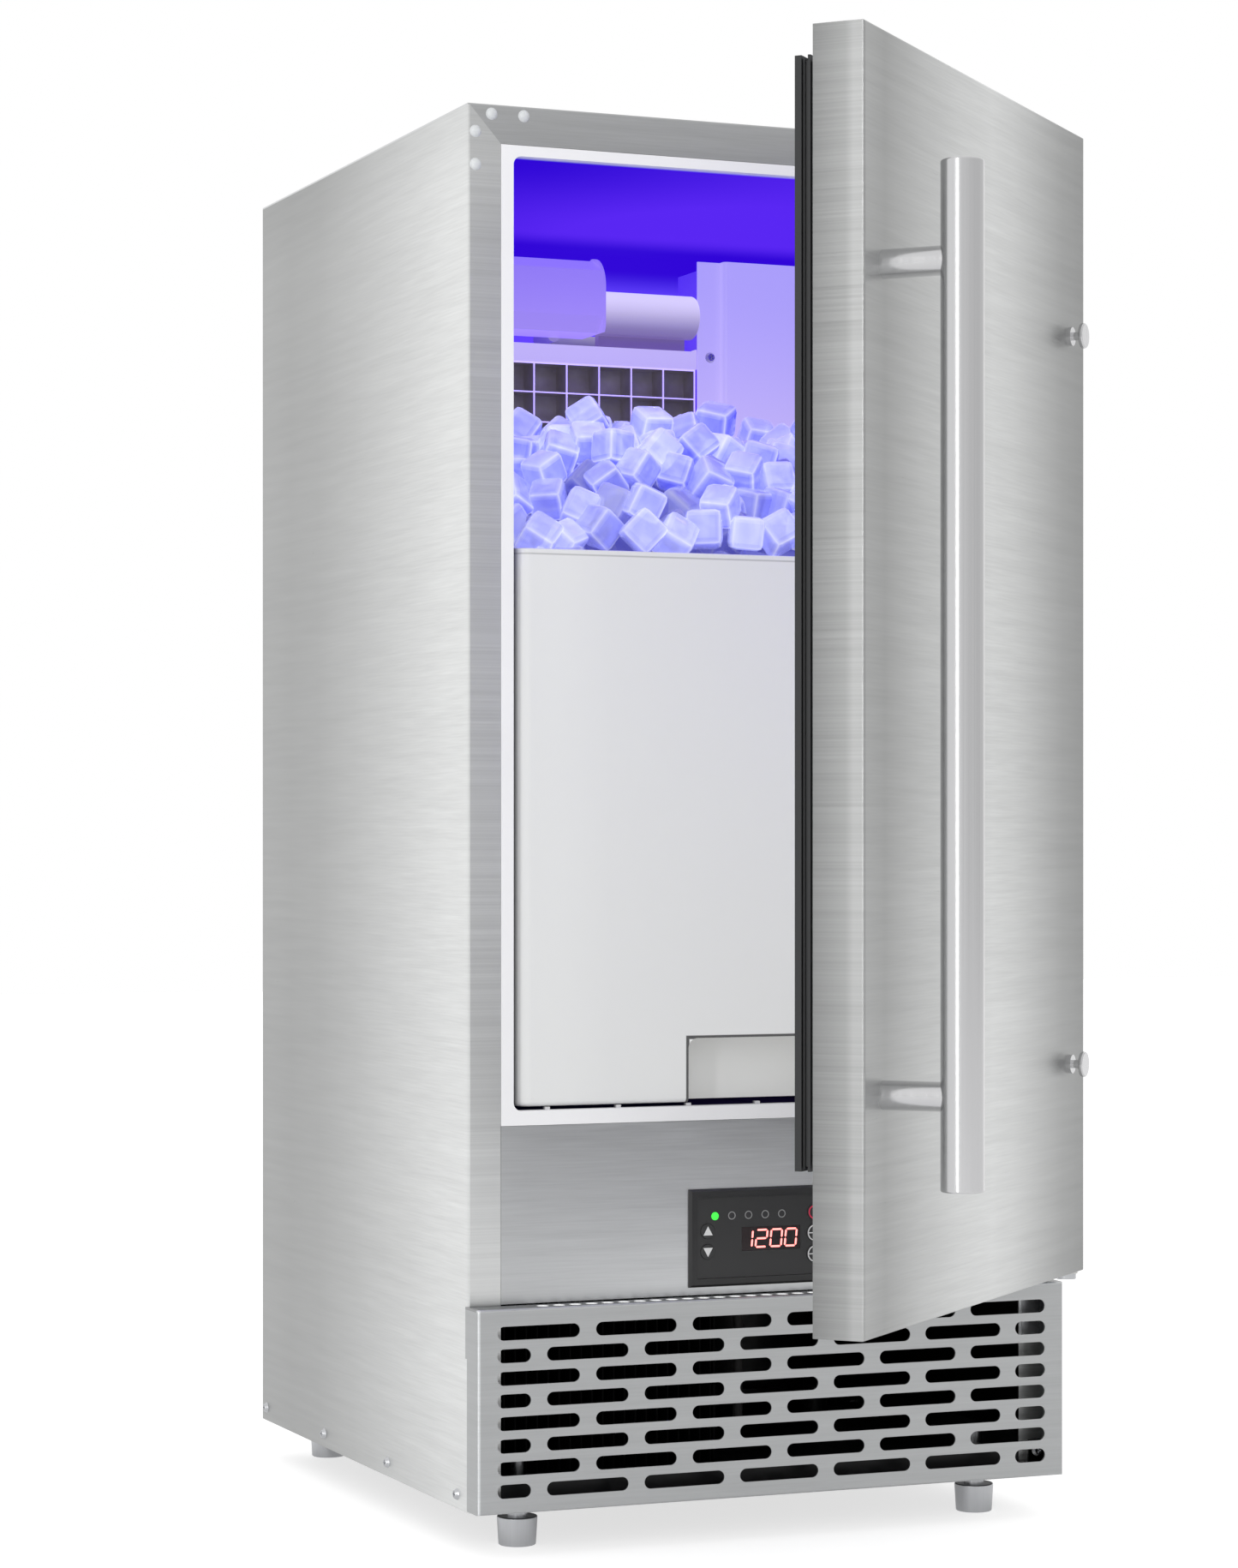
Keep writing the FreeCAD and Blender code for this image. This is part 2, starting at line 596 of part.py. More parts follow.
cover_left = grid_right + 1.0
cover_right = cavity_half - 1.0
cover_step = cover_left + 16.0
cover_top = cavity_ceiling - 12.0
cover_bottom = grid_bottom - 30.5
cover_front = evap_front - 2.0
cover_proud = 7.0
cover_wall = 2.0
strip = block(cover_left, cover_step + cover_wall, cover_front, cover_front + cover_wall, cover_bottom,
              cover_top)
pod = block(cover_step, cover_right, cover_front - cover_proud, cavity_rear - 2, cover_bottom, cover_top)
pod = round_edges(pod, 3.0, lambda e: along_z(e) and e.BoundBox.YMax < cover_front)
pod = pod.cut(block(cover_step + cover_wall, cover_right - cover_wall, cover_front - cover_proud + cover_wall,
                    cavity_rear, cover_bottom - 1, cover_top - cover_wall))
cover = fuse([strip, pod])
cover_screws = [(V(cover_left + 9, cover_front, z), Y_AXIS) for z in cover_screw_z]

# ---- water tank, pump and float --------------------------------------------
tank_wall = 2.0
tank_left = -cavity_half + 6.0
tank_right = cavity_half - 6.0
tank_front = bin_rear + 6.0
tank_rear = cavity_rear - 2.0
tank_top = grid_bottom - 45.5
tank_bottom = tank_top - 67.0
tank = soft_block(tank_left, tank_right, tank_front, tank_rear, tank_bottom, tank_top, 6.0, along_z)
tank = tank.cut(soft_block(tank_left + tank_wall, tank_right - tank_wall, tank_front + tank_wall,
                           tank_rear - tank_wall,
                           tank_bottom + tank_wall, tank_top + 5, 4.0, along_z))
float_x = tank_left + 30.0
float_y = (tank_front + tank_rear) / 2
float_pole = 3.0
float_fit = 0.1
float_travel = 22.0
float_height = 16.0
float_z = tank_bottom + tank_wall + 5.6
stop_z = float_z + float_height + float_travel + 0.1
pole = rod(float_pole, V(float_x, float_y, tank_bottom + tank_wall - 0.5), Z_AXIS, stop_z - tank_bottom)
float_stop = rod(5.0, V(float_x, float_y, stop_z), Z_AXIS, 3.0)
collar = rod(5.0, V(float_x, float_y, tank_bottom + tank_wall - 0.5), Z_AXIS, 6.0)
tank_feet = [block(x - 6, x + 6, tank_front + 10, tank_rear, tank_bottom - 6,
                   tank_bottom) for x in (tank_left + 30, tank_right - 30)]
parts["water_tank"] = fuse([tank, pole, collar, float_stop] + tank_feet)
float_body = rod(11.0, V(float_x, float_y, float_z), Z_AXIS, float_height)
float_body = round_edges(float_body, 2.0, lambda e: e.BoundBox.ZMax - e.BoundBox.ZMin < 1e-6)
parts["tank_float"] = float_body.cut(rod(float_pole + float_fit, V(float_x, float_y, float_z - 1), Z_AXIS,
                                         20))

pump_x = cover_step + 32.0     # under the cover
pump_y = float_y
pump_low = tank_bottom + tank_wall + 1.0
pump_volute = rod(21.0, V(pump_x, pump_y, pump_low), Z_AXIS, 20.0)
pump_volute = pump_volute.cut(rod(18.0, V(pump_x, pump_y, pump_low + 2), Z_AXIS, 16.0))
pump_volute = pump_volute.cut(rod(8.0, V(pump_x, pump_y, pump_low - 1), Z_AXIS, 4.0))
pump_neck = rod(10.0, V(pump_x, pump_y, pump_low + 18), Z_AXIS, 54.0)
pump_motor = rod(24.0, V(pump_x, pump_y, pump_low + 72), Z_AXIS, 34.0)
pump_motor = round_edges(pump_motor, 3.0, lambda e: abs(e.BoundBox.ZMin - (pump_low + 106)) < 1e-6)
impeller_shaft = 2.5
shaft_bore = rod(impeller_shaft + 0.05, V(pump_x, pump_y, pump_low + 10), Z_AXIS, 60)
pump_shelf = block(pump_x - 26, pump_x + 26, pump_y - 26, cavity_rear, pump_low + 69, pump_low + 72)
pump_spout = rod(5.0, V(pump_x - 16, pump_y, pump_low + 12), X_AXIS * -1, 12.0)
parts["pump_housing"] = fuse([pump_volute, pump_neck, pump_motor, pump_shelf, pump_spout]).cut(
    [shaft_bore, rod(3.0, V(pump_x - 10, pump_y, pump_low + 12), X_AXIS * -1, 40)])
vanes = [rod(14.5, V(pump_x, pump_y, pump_low + 4), Z_AXIS, 2.0)]
vanes.append(rod(impeller_shaft, V(pump_x, pump_y, pump_low + 4), Z_AXIS, 62.0))
for i in range(6):
    vane = block(3, 14, -0.7, 0.7, 0, 9)
    vane.rotate(V(0, 0, 0), Z_AXIS, i * 60)
    vane.translate(V(pump_x, pump_y, pump_low + 5))
    vanes.append(vane)
parts["pump_impeller"] = fuse(vanes)

# the slide throws falling ice forward over the tank
slide_rear_z = grid_bottom - frame_lip - 4.0
slide_front_z = tank_top + 3.0
slide_thick = 2.5
slide_y0 = tank_front + 2.0
slide_y1 = plate_back + 4.0
slide_x0 = tank_left + 4
slide_x1 = cover_left - 2.0
bars = []
bar_steps = 18
for i in range(bar_steps + 1):
    x = slide_x0 + i * (slide_x1 - slide_x0 - 3) / bar_steps
    bars.append(prism_x([(slide_y0, slide_front_z), (slide_y1, slide_rear_z),
                         (slide_y1, slide_rear_z + slide_thick), (slide_y0, slide_front_z + slide_thick)], x,
                        x + 3))
for y, z in ((slide_y0, slide_front_z),
             (slide_y1 - 4, slide_rear_z - 4 * (slide_rear_z - slide_front_z) / (slide_y1 - slide_y0))):
    bars.append(block(slide_x0, slide_x1, y, y + 4, z, z + slide_thick))
slide_hooks = [block(x, x + 8, slide_y1 - 4, cavity_rear, slide_rear_z - 4,
                     slide_rear_z - 1) for x in (slide_x0, slide_x1 - 8)]
parts["ice_slide"] = fuse(bars + slide_hooks)

# ---- lamp, bin probe and water tubes in the cavity -------------------------
lamp_x = 85.0
lamp_length = 80.0
lamp_width = 22.0
lamp_depth = 7.0
lamp_front = front + 30.0
parts["led_lamp"] = soft_block(lamp_x - lamp_length / 2, lamp_x + lamp_length / 2, lamp_front,
                               lamp_front + lamp_width,
                               cavity_ceiling - lamp_depth, cavity_ceiling, 3.0, along_y)
probe_x = cavity_half
probe_length = 90.0
probe_rear = cover_front - cover_proud - 41.0
probe_z = bin_top + 38.0
probe_bracket = block(probe_x - 8, probe_x, probe_rear - 60, probe_rear - 20, probe_z - 8, probe_z + 8)
probe_bulb = rod(3.0, V(probe_x - 12, probe_rear - probe_length, probe_z), Y_AXIS, probe_length)
probe_clip = block(probe_x - 13, probe_x - 7, probe_rear - 50, probe_rear - 30, probe_z - 5, probe_z + 5)
parts["bin_probe"] = fuse([probe_bracket, probe_bulb, probe_clip])

# ---- machine compartment ---------------------------------------------------
floor_z = body_bottom + pan_sheet
cond_left = -inner_half + 12.0
cond_right = cond_left + 168.0
cond_front = front + foot_inset_y + stud_radius + 6.0
cond_depth = 34.0
cond_low = floor_z + 12.0
cond_high = cond_low + 150.0
fin_pitch = 7.0
condenser_tube_radius = 3.5
fins = []
fin_count = int((cond_right - cond_left - 28) / fin_pitch)
for i in range(fin_count + 1):
    x = cond_left + 14 + i * fin_pitch
    fins.append(block(x, x + 0.8, cond_front, cond_front + cond_depth, cond_low, cond_high))
tube_pitch = 24.0
tube_count = int((cond_high - cond_low - 12) / tube_pitch) + 1
points = []
for k in range(tube_count):
    z = cond_low + 12 + k * tube_pitch
    ends = (cond_left + 6, cond_right - 6)
    points += [(x, cond_front + cond_depth / 2, z) for x in (ends if k % 2 == 0 else ends[::-1])]
cond_tube = tube(points, condenser_tube_radius, tube_pitch / 2 - 0.01)
cond_plates = [block(x, x + 1.2, cond_front - 1, cond_front + cond_depth + 1, floor_z, cond_high + 2)
               for x in (cond_left + 11, cond_right - 12.2)]
parts["condenser"] = fuse([cond_tube] + fins + cond_plates)

shroud_front = cond_front + cond_depth + 1.5
shroud_depth = 26.0
shroud_x0, shroud_x1 = cond_left + 10, cond_right - 10
fan_centre_x = (shroud_x0 + shroud_x1) / 2
fan_centre_z = (cond_low + cond_high) / 2
fan_hole = 62.0
shroud = block(shroud_x0, shroud_x1, shroud_front, shroud_front + shroud_depth, floor_z, cond_high + 2)
shroud = shroud.cut(block(shroud_x0 + 1.2, shroud_x1 - 1.2, shroud_front - 1,
                          shroud_front + shroud_depth - 1.2,
                          floor_z + 1.2, cond_high + 0.8))
ring = rod(fan_hole + 2, V(fan_centre_x, shroud_front + shroud_depth - 1.2, fan_centre_z), Y_AXIS, 14.0)
shroud = fuse([shroud, ring]).cut(rod(fan_hole, V(fan_centre_x, shroud_front, fan_centre_z), Y_AXIS, 60))
parts["fan_shroud"] = shroud
fan_y = shroud_front + shroud_depth + 2.0
fan_shaft = 2.5
hub = rod(15.0, V(fan_centre_x, fan_y, fan_centre_z), Y_AXIS, 12.0)
blades = [hub, rod(fan_shaft, V(fan_centre_x, fan_y, fan_centre_z), Y_AXIS, 40.0)]
for i in range(5):
    blade = block(12, 57, -0.8, 0.8, -13, 13)
    blade = round_edges(blade, 8.0, lambda e: along_y(e) and e.Vertexes[0].Point.x > 50)
    blade.rotate(V(0, 0, 0), X_AXIS, 62)
    blade.translate(V(0, 6, 0))
    blade.rotate(V(0, 0, 0), Y_AXIS, i * 72)
    blade.translate(V(fan_centre_x, fan_y, fan_centre_z))
    blades.append(blade)
parts["fan_blade"] = fuse(blades)
motor_y = fan_y + 21.0
motor = round_edges(rod(24.0, V(fan_centre_x, motor_y, fan_centre_z), Y_AXIS, 38.0), 3.0,
                    lambda e: abs(e.BoundBox.YMin - (motor_y + 38)) < 1e-6)
arms = []
for i in range(3):
    arm = block(10, fan_hole + 1.9, 0, 3, -5, 5)
    arm.rotate(V(0, 0, 0), Y_AXIS, 90 + i * 120)
    arm.translate(V(fan_centre_x, motor_y + 4, fan_centre_z))
    arms.append(arm)
    grip = block(fan_hole + 2.1, fan_hole + 4.0, -14, 3, -5, 5)
    link = block(fan_hole - 4, fan_hole + 4.0, 0, 3, -5, 5)
    for piece in (grip, link):
        piece.rotate(V(0, 0, 0), Y_AXIS, 90 + i * 120)
        piece.translate(V(fan_centre_x, motor_y + 4, fan_centre_z))
        arms.append(piece)
motor = fuse([motor] + arms)
parts["fan_motor"] = motor.cut(rod(fan_shaft + 0.05, V(fan_centre_x, motor_y - 1, fan_centre_z), Y_AXIS,
                                   24.0))

pot_x = inner_half - 74.0
pot_y = rear - 92.0
pot_radius = 52.0
grommet_h = 12.0
pot_foot_z = floor_z + grommet_h
pot = rod(pot_radius, V(pot_x, pot_y, pot_foot_z + 8), Z_AXIS, 118.0)
pot = round_edges(pot, 22.0, lambda e: abs(e.BoundBox.ZMin - (pot_foot_z + 126)) < 1e-6)
pot = round_edges(pot, 8.0, lambda e: abs(e.BoundBox.ZMax - (pot_foot_z + 8)) < 1e-6)
belt = rod(pot_radius + 2.5, V(pot_x, pot_y, pot_foot_z + 62), Z_AXIS, 4.0)
saddle = soft_block(pot_x - 58, pot_x + 58, pot_y - 40, pot_y + 40, pot_foot_z, pot_foot_z + 3, 8.0, along_z)
stool = rod(38.0, V(pot_x, pot_y, pot_foot_z), Z_AXIS, 12.0)
terminal = soft_block(pot_x - pot_radius - 16, pot_x - pot_radius + 8, pot_y - 22, pot_y + 22,
                      pot_foot_z + 50, pot_foot_z + 96, 3.0, along_x)
grommet_spots = [V(pot_x + sx * 48, pot_y + sy * 30, floor_z) for sx in (-1, 1) for sy in (-1, 1)]
compressor = fuse([pot, belt, saddle, stool, terminal])
grommets = []
for p in grommet_spots:
    compressor = compressor.cut(rod(5.0, V(p.x, p.y, pot_foot_z - 1), Z_AXIS, 6))
    foot = rod(9.0, p, Z_AXIS, grommet_h)
    pip = rod(4.9, V(p.x, p.y, floor_z + grommet_h), Z_AXIS, 5.0)
    grommets.append(foot.fuse(pip))
parts["compressor"] = compressor
parts["compressor_grommets"] = group(grommets)

# refrigerant circuit: discharge line, drier with its capillary, suction line and hot gas valve
pipe_radius = 3.0
riser_y = cavity_rear + liner_wall + 34.0
riser_x = grid_left + 40.0
discharge = tube([(pot_x - 20, pot_y - 30, pot_foot_z + 132), (pot_x - 20, pot_y - 30, pot_foot_z + 150),
                  (pot_x - 20, cond_front + cond_depth + 60, pot_foot_z + 150),
                  (cond_right + 12, cond_front + cond_depth + 60, pot_foot_z + 150),
                  (cond_right + 12, cond_front + cond_depth / 2, pot_foot_z + 150),
                  (cond_right + 12, cond_front + cond_depth / 2, pot_foot_z + 20)],
                 pipe_radius, 9.0)
drier_y = pot_y - 10
drier_x = cond_left + 20
drier = Part.makeCylinder(9.0, 70.0, V(drier_x, drier_y, floor_z + 60), Z_AXIS)
drier = fuse([drier, Part.makeCone(9.0, 3.0, 10.0, V(drier_x, drier_y, floor_z + 130), Z_AXIS),
              Part.makeCone(3.0, 9.0, 10.0, V(drier_x, drier_y, floor_z + 50), Z_AXIS)])
liquid = tube([(drier_x, drier_y, floor_z + 140), (drier_x, drier_y, divider_z - 20),
               (drier_x, riser_y - 10, divider_z - 20),
               (drier_x, riser_y - 10, divider_z - 4)], pipe_radius - 0.6, 8.0)
suction = tube([(pot_x + 10, pot_y + 5, pot_foot_z + 126), (pot_x + 10, pot_y + 5, pot_foot_z + 152),
                (riser_x + 60, pot_y + 5, pot_foot_z + 152), (riser_x + 60, pot_y + 5, divider_z - 3)],
               pipe_radius, 9.0)
gas_valve = fuse([block(-12, 12, pot_y + 42, pot_y + 66, pot_foot_z + 96, pot_foot_z + 120),
                  rod(9.0, V(0, pot_y + 54, pot_foot_z + 120), Z_AXIS, 22.0)])
parts["refrigerant_pipes"] = group([discharge, liquid, suction, drier, gas_valve])

# ---- rear connections ------------------------------------------------------
inlet_x, inlet_z = -130.0, divider_z - 34.0
inlet_radius = 13.2
inlet_length = 14.0
inlet_body = soft_block(inlet_x - 18, inlet_x + 18, rear - 46, rear - skin - 2, inlet_z - 18, inlet_z + 18,
                        3.0, along_z)
collar_proud = 1.0             # collars pass through the rear panel and stand this far out
inlet_collar = rod(inlet_radius + 2.0, V(inlet_x, rear - skin - 3, inlet_z), Y_AXIS, skin + 3 + collar_proud)
inlet_neck = rod(inlet_radius, V(inlet_x, rear, inlet_z), Y_AXIS, collar_proud + inlet_length)
inlet_coil = rod(13.0, V(inlet_x, rear - 30, inlet_z - 18), Z_AXIS * -1, 28.0)
inlet_bore = rod(8.0, V(inlet_x, rear - 20, inlet_z), Y_AXIS, 60)
parts["water_inlet_valve"] = fuse([inlet_body, inlet_collar, inlet_neck, inlet_coil]).cut(inlet_bore)
drain_x, drain_z = 0.0, body_bottom + 36.0
drain_radius = 8.0
drain_length = 25.0
drain_elbow = rod(drain_radius, V(drain_x, rear - 60, drain_z), Y_AXIS, 60 + collar_proud + drain_length)
drain_collar = rod(drain_radius + 2.0, V(drain_x, rear - skin, drain_z), Y_AXIS, skin + collar_proud)
drain_flange = rod(14.0, V(drain_x, rear - skin - 3, drain_z), Y_AXIS, 3.0)
drain_bore = rod(5.5, V(drain_x, rear - 66, drain_z), Y_AXIS, 140)
drain_cup = rod(14.0, V(drain_x, rear - 66, drain_z - 12), Z_AXIS, 24.0)
drain_cup = drain_cup.cut(rod(9.0, V(drain_x, rear - 66, drain_z - 8), Z_AXIS, 40))
parts["drain_outlet"] = fuse([drain_elbow, drain_flange, drain_collar, drain_cup]).cut(drain_bore)
gland_x, gland_z = 60.0, body_bottom + 44.0
gland = fuse([rod(9.0, V(gland_x, rear - skin - 5, gland_z), Y_AXIS, 5.0),
              rod(7.0, V(gland_x, rear - skin, gland_z), Y_AXIS, skin),
              rod(10.5, V(gland_x, rear, gland_z), Y_AXIS, 7.0)])
gland = gland.cut(rod(3.8, V(gland_x, rear - 20, gland_z), Y_AXIS, 60))
parts["cord_gland"] = gland
rear_panel = rear_panel.cut([rod(inlet_radius + 2.3, V(inlet_x, rear - 5, inlet_z), Y_AXIS, 10),
                             rod(drain_radius + 2.3, V(drain_x, rear - 5, drain_z), Y_AXIS, 10),
                             rod(7.2, V(gland_x, rear - 5, gland_z), Y_AXIS, 10)])

# water tubes: inlet valve to the tank, pump to the feed box, cavity drain to the outlet
supply = tube([(tank_left + 60, tank_rear - 12, tank_top + 2),
               (tank_left + 60, tank_rear - 12, tank_top + 16),
               (tank_left + 60, cavity_rear - 4, tank_top + 16)], 3.0, 4.0)
riser_back = cavity_rear - 14.0
riser_high = grid_top + bar_height + 10.0
riser_side = cover_left + 8.0
riser = tube([(pump_x - 28.2, pump_y, pump_low + 12), (riser_side, pump_y, pump_low + 12),
              (riser_side, pump_y, tank_top + 17),
              (riser_side, riser_back, tank_top + 17), (riser_side, riser_back, riser_high),
              (feed_right - 20, riser_back, riser_high), (feed_right - 20, feed_front + 42.3, riser_high)],
             4.5, 6.0)
drain_hose = tube([(drain_x, rear - 66, drain_z + 14), (drain_x, rear - 66, divider_z - 1)], 6.0, 5.0)
parts["water_tubes"] = group([supply, riser, drain_hose])

# ---- hinges ----------------------------------------------------------------
hinge_edge = half_width       # the door's hinge side is flush with the cabinet
door_face = front - door_standoff - door_thickness
door_back = front - door_standoff
latch_edge = hinge_edge - door_width
pin_x = hinge_edge - pin_from_edge
pin_y = door_face + pin_from_face
notch_depth = tongue_thickness + 1.0
notch_floor = cabinet_height - notch_depth
tongue_low = cabinet_height - 0.5 - tongue_thickness
bush_flange = 1.5
bush_radius = 6.0
upper_pin = 18.0


def tongue(z0, z1):
    arm = block(pin_x - tongue_half, pin_x + tongue_half, pin_y, front, z0, z1)
    return arm.fuse(rod(tongue_half, V(pin_x, pin_y, z0), Z_AXIS, z1 - z0))


plate_top = tongue_low + tongue_thickness
upper_plate = [block(half_width - 42, half_width - 1, front - hinge_plate, front, cabinet_height - 12,
                     plate_top),
               block(half_width - 9, half_width - 0.6, front - hinge_plate, front, cabinet_height - 43,
                     plate_top)]
upper = fuse(upper_plate + [tongue(tongue_low, plate_top),
                            rod(pin_radius, V(pin_x, pin_y, tongue_low - upper_pin), Z_AXIS, upper_pin + 1)])
lower_top = door_bottom - bush_flange - 0.1
lower_z = lower_top - tongue_thickness
lower_pin = 16.0
lower_plate = block(half_width - stile_width + 1, half_width - 1, front - hinge_plate, front,
                    grille_top - 34, lower_top)
lower = fuse([lower_plate, tongue(lower_z, lower_top),
              rod(pin_radius, V(pin_x, pin_y, lower_top - 1), Z_AXIS, lower_pin + 1)])

# ---- door, modelled closed -------------------------------------------------
door_top = cabinet_height
pan_flange_in = 12.0
pan = block(latch_edge, hinge_edge, door_face, door_back, door_bottom, door_top)
pan = round_edges(pan, 1.2, lambda e: abs(e.BoundBox.YMax - door_face) < 1e-6)
pan = pan.cut(block(latch_edge + skin, hinge_edge - skin, door_face + skin, door_back - skin,
                    door_bottom + skin, door_top - skin))
pan = pan.cut(block(latch_edge + pan_flange_in, hinge_edge - pan_flange_in, door_face + skin, door_back + 1,
                    door_bottom + pan_flange_in, door_top - pan_flange_in))
notch = block(pin_x - tongue_half - 1, hinge_edge + 2, door_face + skin, door_back + 1, notch_floor,
              door_top + 1)
pan = pan.cut(notch)
pan = pan.cut(rod(bush_radius + 0.02, V(pin_x, pin_y, door_bottom - 5), Z_AXIS, 10))

handle_x = latch_edge + handle_from_latch
stud_x = hinge_edge - handle_from_latch
post_zs = (post_centre_z - post_spacing / 2, post_centre_z + post_spacing / 2)
handle_hole = 2.6
for x in (handle_x, stud_x):
    for z in post_zs:
        pan = pan.cut(rod(handle_hole, V(x, door_face - 2, z), Y_AXIS, 5))

cup_depth = 20.0
upper_bush = fuse([block(pin_x - tongue_half - 0.8, hinge_edge - skin - 0.2, door_face + skin + 0.2,
                         door_back - skin - 0.2,
                         notch_floor - bush_flange, notch_floor),
                   rod(bush_radius, V(pin_x, pin_y, notch_floor - cup_depth), Z_AXIS, cup_depth)])
upper_bush = upper_bush.cut(rod(pin_radius + pin_fit, V(pin_x, pin_y, notch_floor - cup_depth + 1.5), Z_AXIS,
                                cup_depth + 5))
lower_bush = fuse([rod(bush_radius + 1.0, V(pin_x, pin_y, door_bottom - bush_flange), Z_AXIS, bush_flange),
                   rod(bush_radius, V(pin_x, pin_y, door_bottom), Z_AXIS, cup_depth)])
lower_bush = lower_bush.cut(rod(pin_radius + pin_fit, V(pin_x, pin_y, door_bottom - 5), Z_AXIS,
                                cup_depth + 2))

liner_inset = 5.0
plate = 2.0
field_inset = gasket_inset + gasket_width + 8.0
field_rise = 8.0
door_liner = block(latch_edge + liner_inset, hinge_edge - liner_inset, door_back, door_back + plate,
                   door_bottom + liner_inset, door_top - liner_inset)
field_low = gasket_low + gasket_width + 8.0
rim_ring = frame_ring(latch_edge + field_inset, hinge_edge - field_inset, door_back + plate,
                      door_back + plate + field_rise, field_low, door_top - field_inset, 14.0)
field = block(latch_edge + field_inset + 10, hinge_edge - field_inset - 10, door_back + plate,
              door_back + plate + 2, field_low + 10, door_top - field_inset - 10)
door_liner = fuse([door_liner, rim_ring, field])
door_liner = round_edges(door_liner, 2.0,
                         lambda e: abs(e.BoundBox.YMin - (door_back + plate + field_rise)) < 1e-6)

door_foam = block(latch_edge + skin + 0.1, hinge_edge - skin - 0.1, door_face + skin + 0.1,
                  door_back - skin - 0.1,
                  door_bottom + skin + 0.1, door_top - skin - 0.1)
door_foam = door_foam.fuse(block(latch_edge + pan_flange_in + 0.1, hinge_edge - pan_flange_in - 0.1,
                                 door_back - skin - 0.2,
                                 door_back, door_bottom + pan_flange_in + 0.1,
                                 door_top - pan_flange_in - 0.1)).removeSplitter()
door_foam = door_foam.cut(block(pin_x - tongue_half - 1, hinge_edge + 2, door_face, door_back + 1,
                                notch_floor - bush_flange - 0.1, door_top + 1))
for z0 in (notch_floor - cup_depth - 0.2, door_bottom):
    door_foam = door_foam.cut(rod(bush_radius + 0.2, V(pin_x, pin_y, z0), Z_AXIS, cup_depth + 0.4))
for x in (handle_x, stud_x):
    for z in post_zs:
        door_foam = door_foam.cut(rod(4.4, V(x, door_face, z), Y_AXIS, 12))

seal_back = front - seal_gap
seat = door_back + plate


def gasket_ring(inset, y0, y1, width):
    return frame_ring(latch_edge + gasket_inset + inset, hinge_edge - gasket_inset - inset, y0, y1,
                      gasket_low + inset, door_top - gasket_inset - inset, width)


magnet_front = seal_back - 3.8
gasket = fuse([
    gasket_ring(3.0, seat, seat + 4.5, gasket_width - 6),                   # dart pressed into the liner
    gasket_ring(0.0, seat + 4.5, seat + 6.0, gasket_width),                 # lip
    gasket_ring(2.5, seat + 6.0, magnet_front - 1.4, gasket_width - 5),     # bellows
    gasket_ring(1.2, magnet_front - 1.4, magnet_front - 0.6, gasket_width - 2.4),
    gasket_ring(2.5, magnet_front - 0.6, magnet_front, gasket_width - 5),
    gasket_ring(0.0, magnet_front, seal_back, gasket_width),                # magnet bar
])

bar_y = door_face - bar_standoff
handle_bar = rod(bar_radius, V(handle_x, bar_y, bar_centre_z - bar_length / 2), Z_AXIS, bar_length)
handle_bar = round_edges(handle_bar, 1.0, lambda e: e.BoundBox.ZMax - e.BoundBox.ZMin < 1e-6)
posts = []
studs = []
for z in post_zs:
    post = rod(post_radius, V(handle_x, bar_y, z), Y_AXIS, bar_standoff)
    post = post.fuse(rod(handle_hole - 0.1, V(handle_x, door_face - 1, z), Y_AXIS, 10)).fuse(
        rod(4.2, V(handle_x, door_face + skin, z), Y_AXIS, 3.2))
    posts.append(post.cut(handle_bar))
    washer = rod(5.6, V(stud_x, door_face - 2.0, z), Y_AXIS, 2.0)
    neck = rod(2.5, V(stud_x, door_face - 7.5, z), Y_AXIS, 8.5 + skin)
    head = round_edges(rod(7.6, V(stud_x, door_face - 10.0, z), Y_AXIS, 2.6), 0.8,
                       lambda e: e.BoundBox.YMax - e.BoundBox.YMin < 1e-6)
    nut = rod(4.2, V(stud_x, door_face + skin, z), Y_AXIS, 3.2)
    studs.append(fuse([washer, neck, head, nut]))

door_parts = {
    "door_outer_skin": pan,
    "door_inner_liner": door_liner,
    "door_foam": door_foam,
    "door_gasket": gasket,
    "handle_bar": handle_bar,
    "handle_posts": group(posts),
    "handle_studs": group(studs),
    "hinge_bushings": group([upper_bush, lower_bush]),
}
for name, shape in door_parts.items():
    shape.rotate(V(pin_x, pin_y, 0), Z_AXIS, door_rest_angle)
    parts[name] = shape

# ---- screws and plugs ------------------------------------------------------
pan_screws = side_screws + rear_screws + grille_screws + cover_screws
flat_screws = hinge_screws + lower_plate_screws
screw_length = 6.0
screws = [pan_screw(p, a, length=screw_length) for p, a in pan_screws]
screws += [flat_screw(p, a) for p, a in flat_screws]
parts["body_screws"] = group(screws)


def drilled(shape, spots):
    return shape.cut([screw_hole(p, a) for p, a in spots])


plug_holes = []
plugs = []
for dx, dz in plug_spots:
    at = V(-half_width + dx, front, cabinet_height - dz)
    plug_holes.append(rod(2.0, at - Y_AXIS * 2, Y_AXIS, 6))
    dome = Part.makeSphere(4.2,
                           at + Y_AXIS * 2.2).common(block(at.x - 5, at.x + 5, front - 5, front, at.z - 5,
                                                           at.z + 5))
    plugs.append(dome.fuse(rod(1.9, at, Y_AXIS, 4.0)))
parts["hinge_hole_plugs"] = group(plugs)

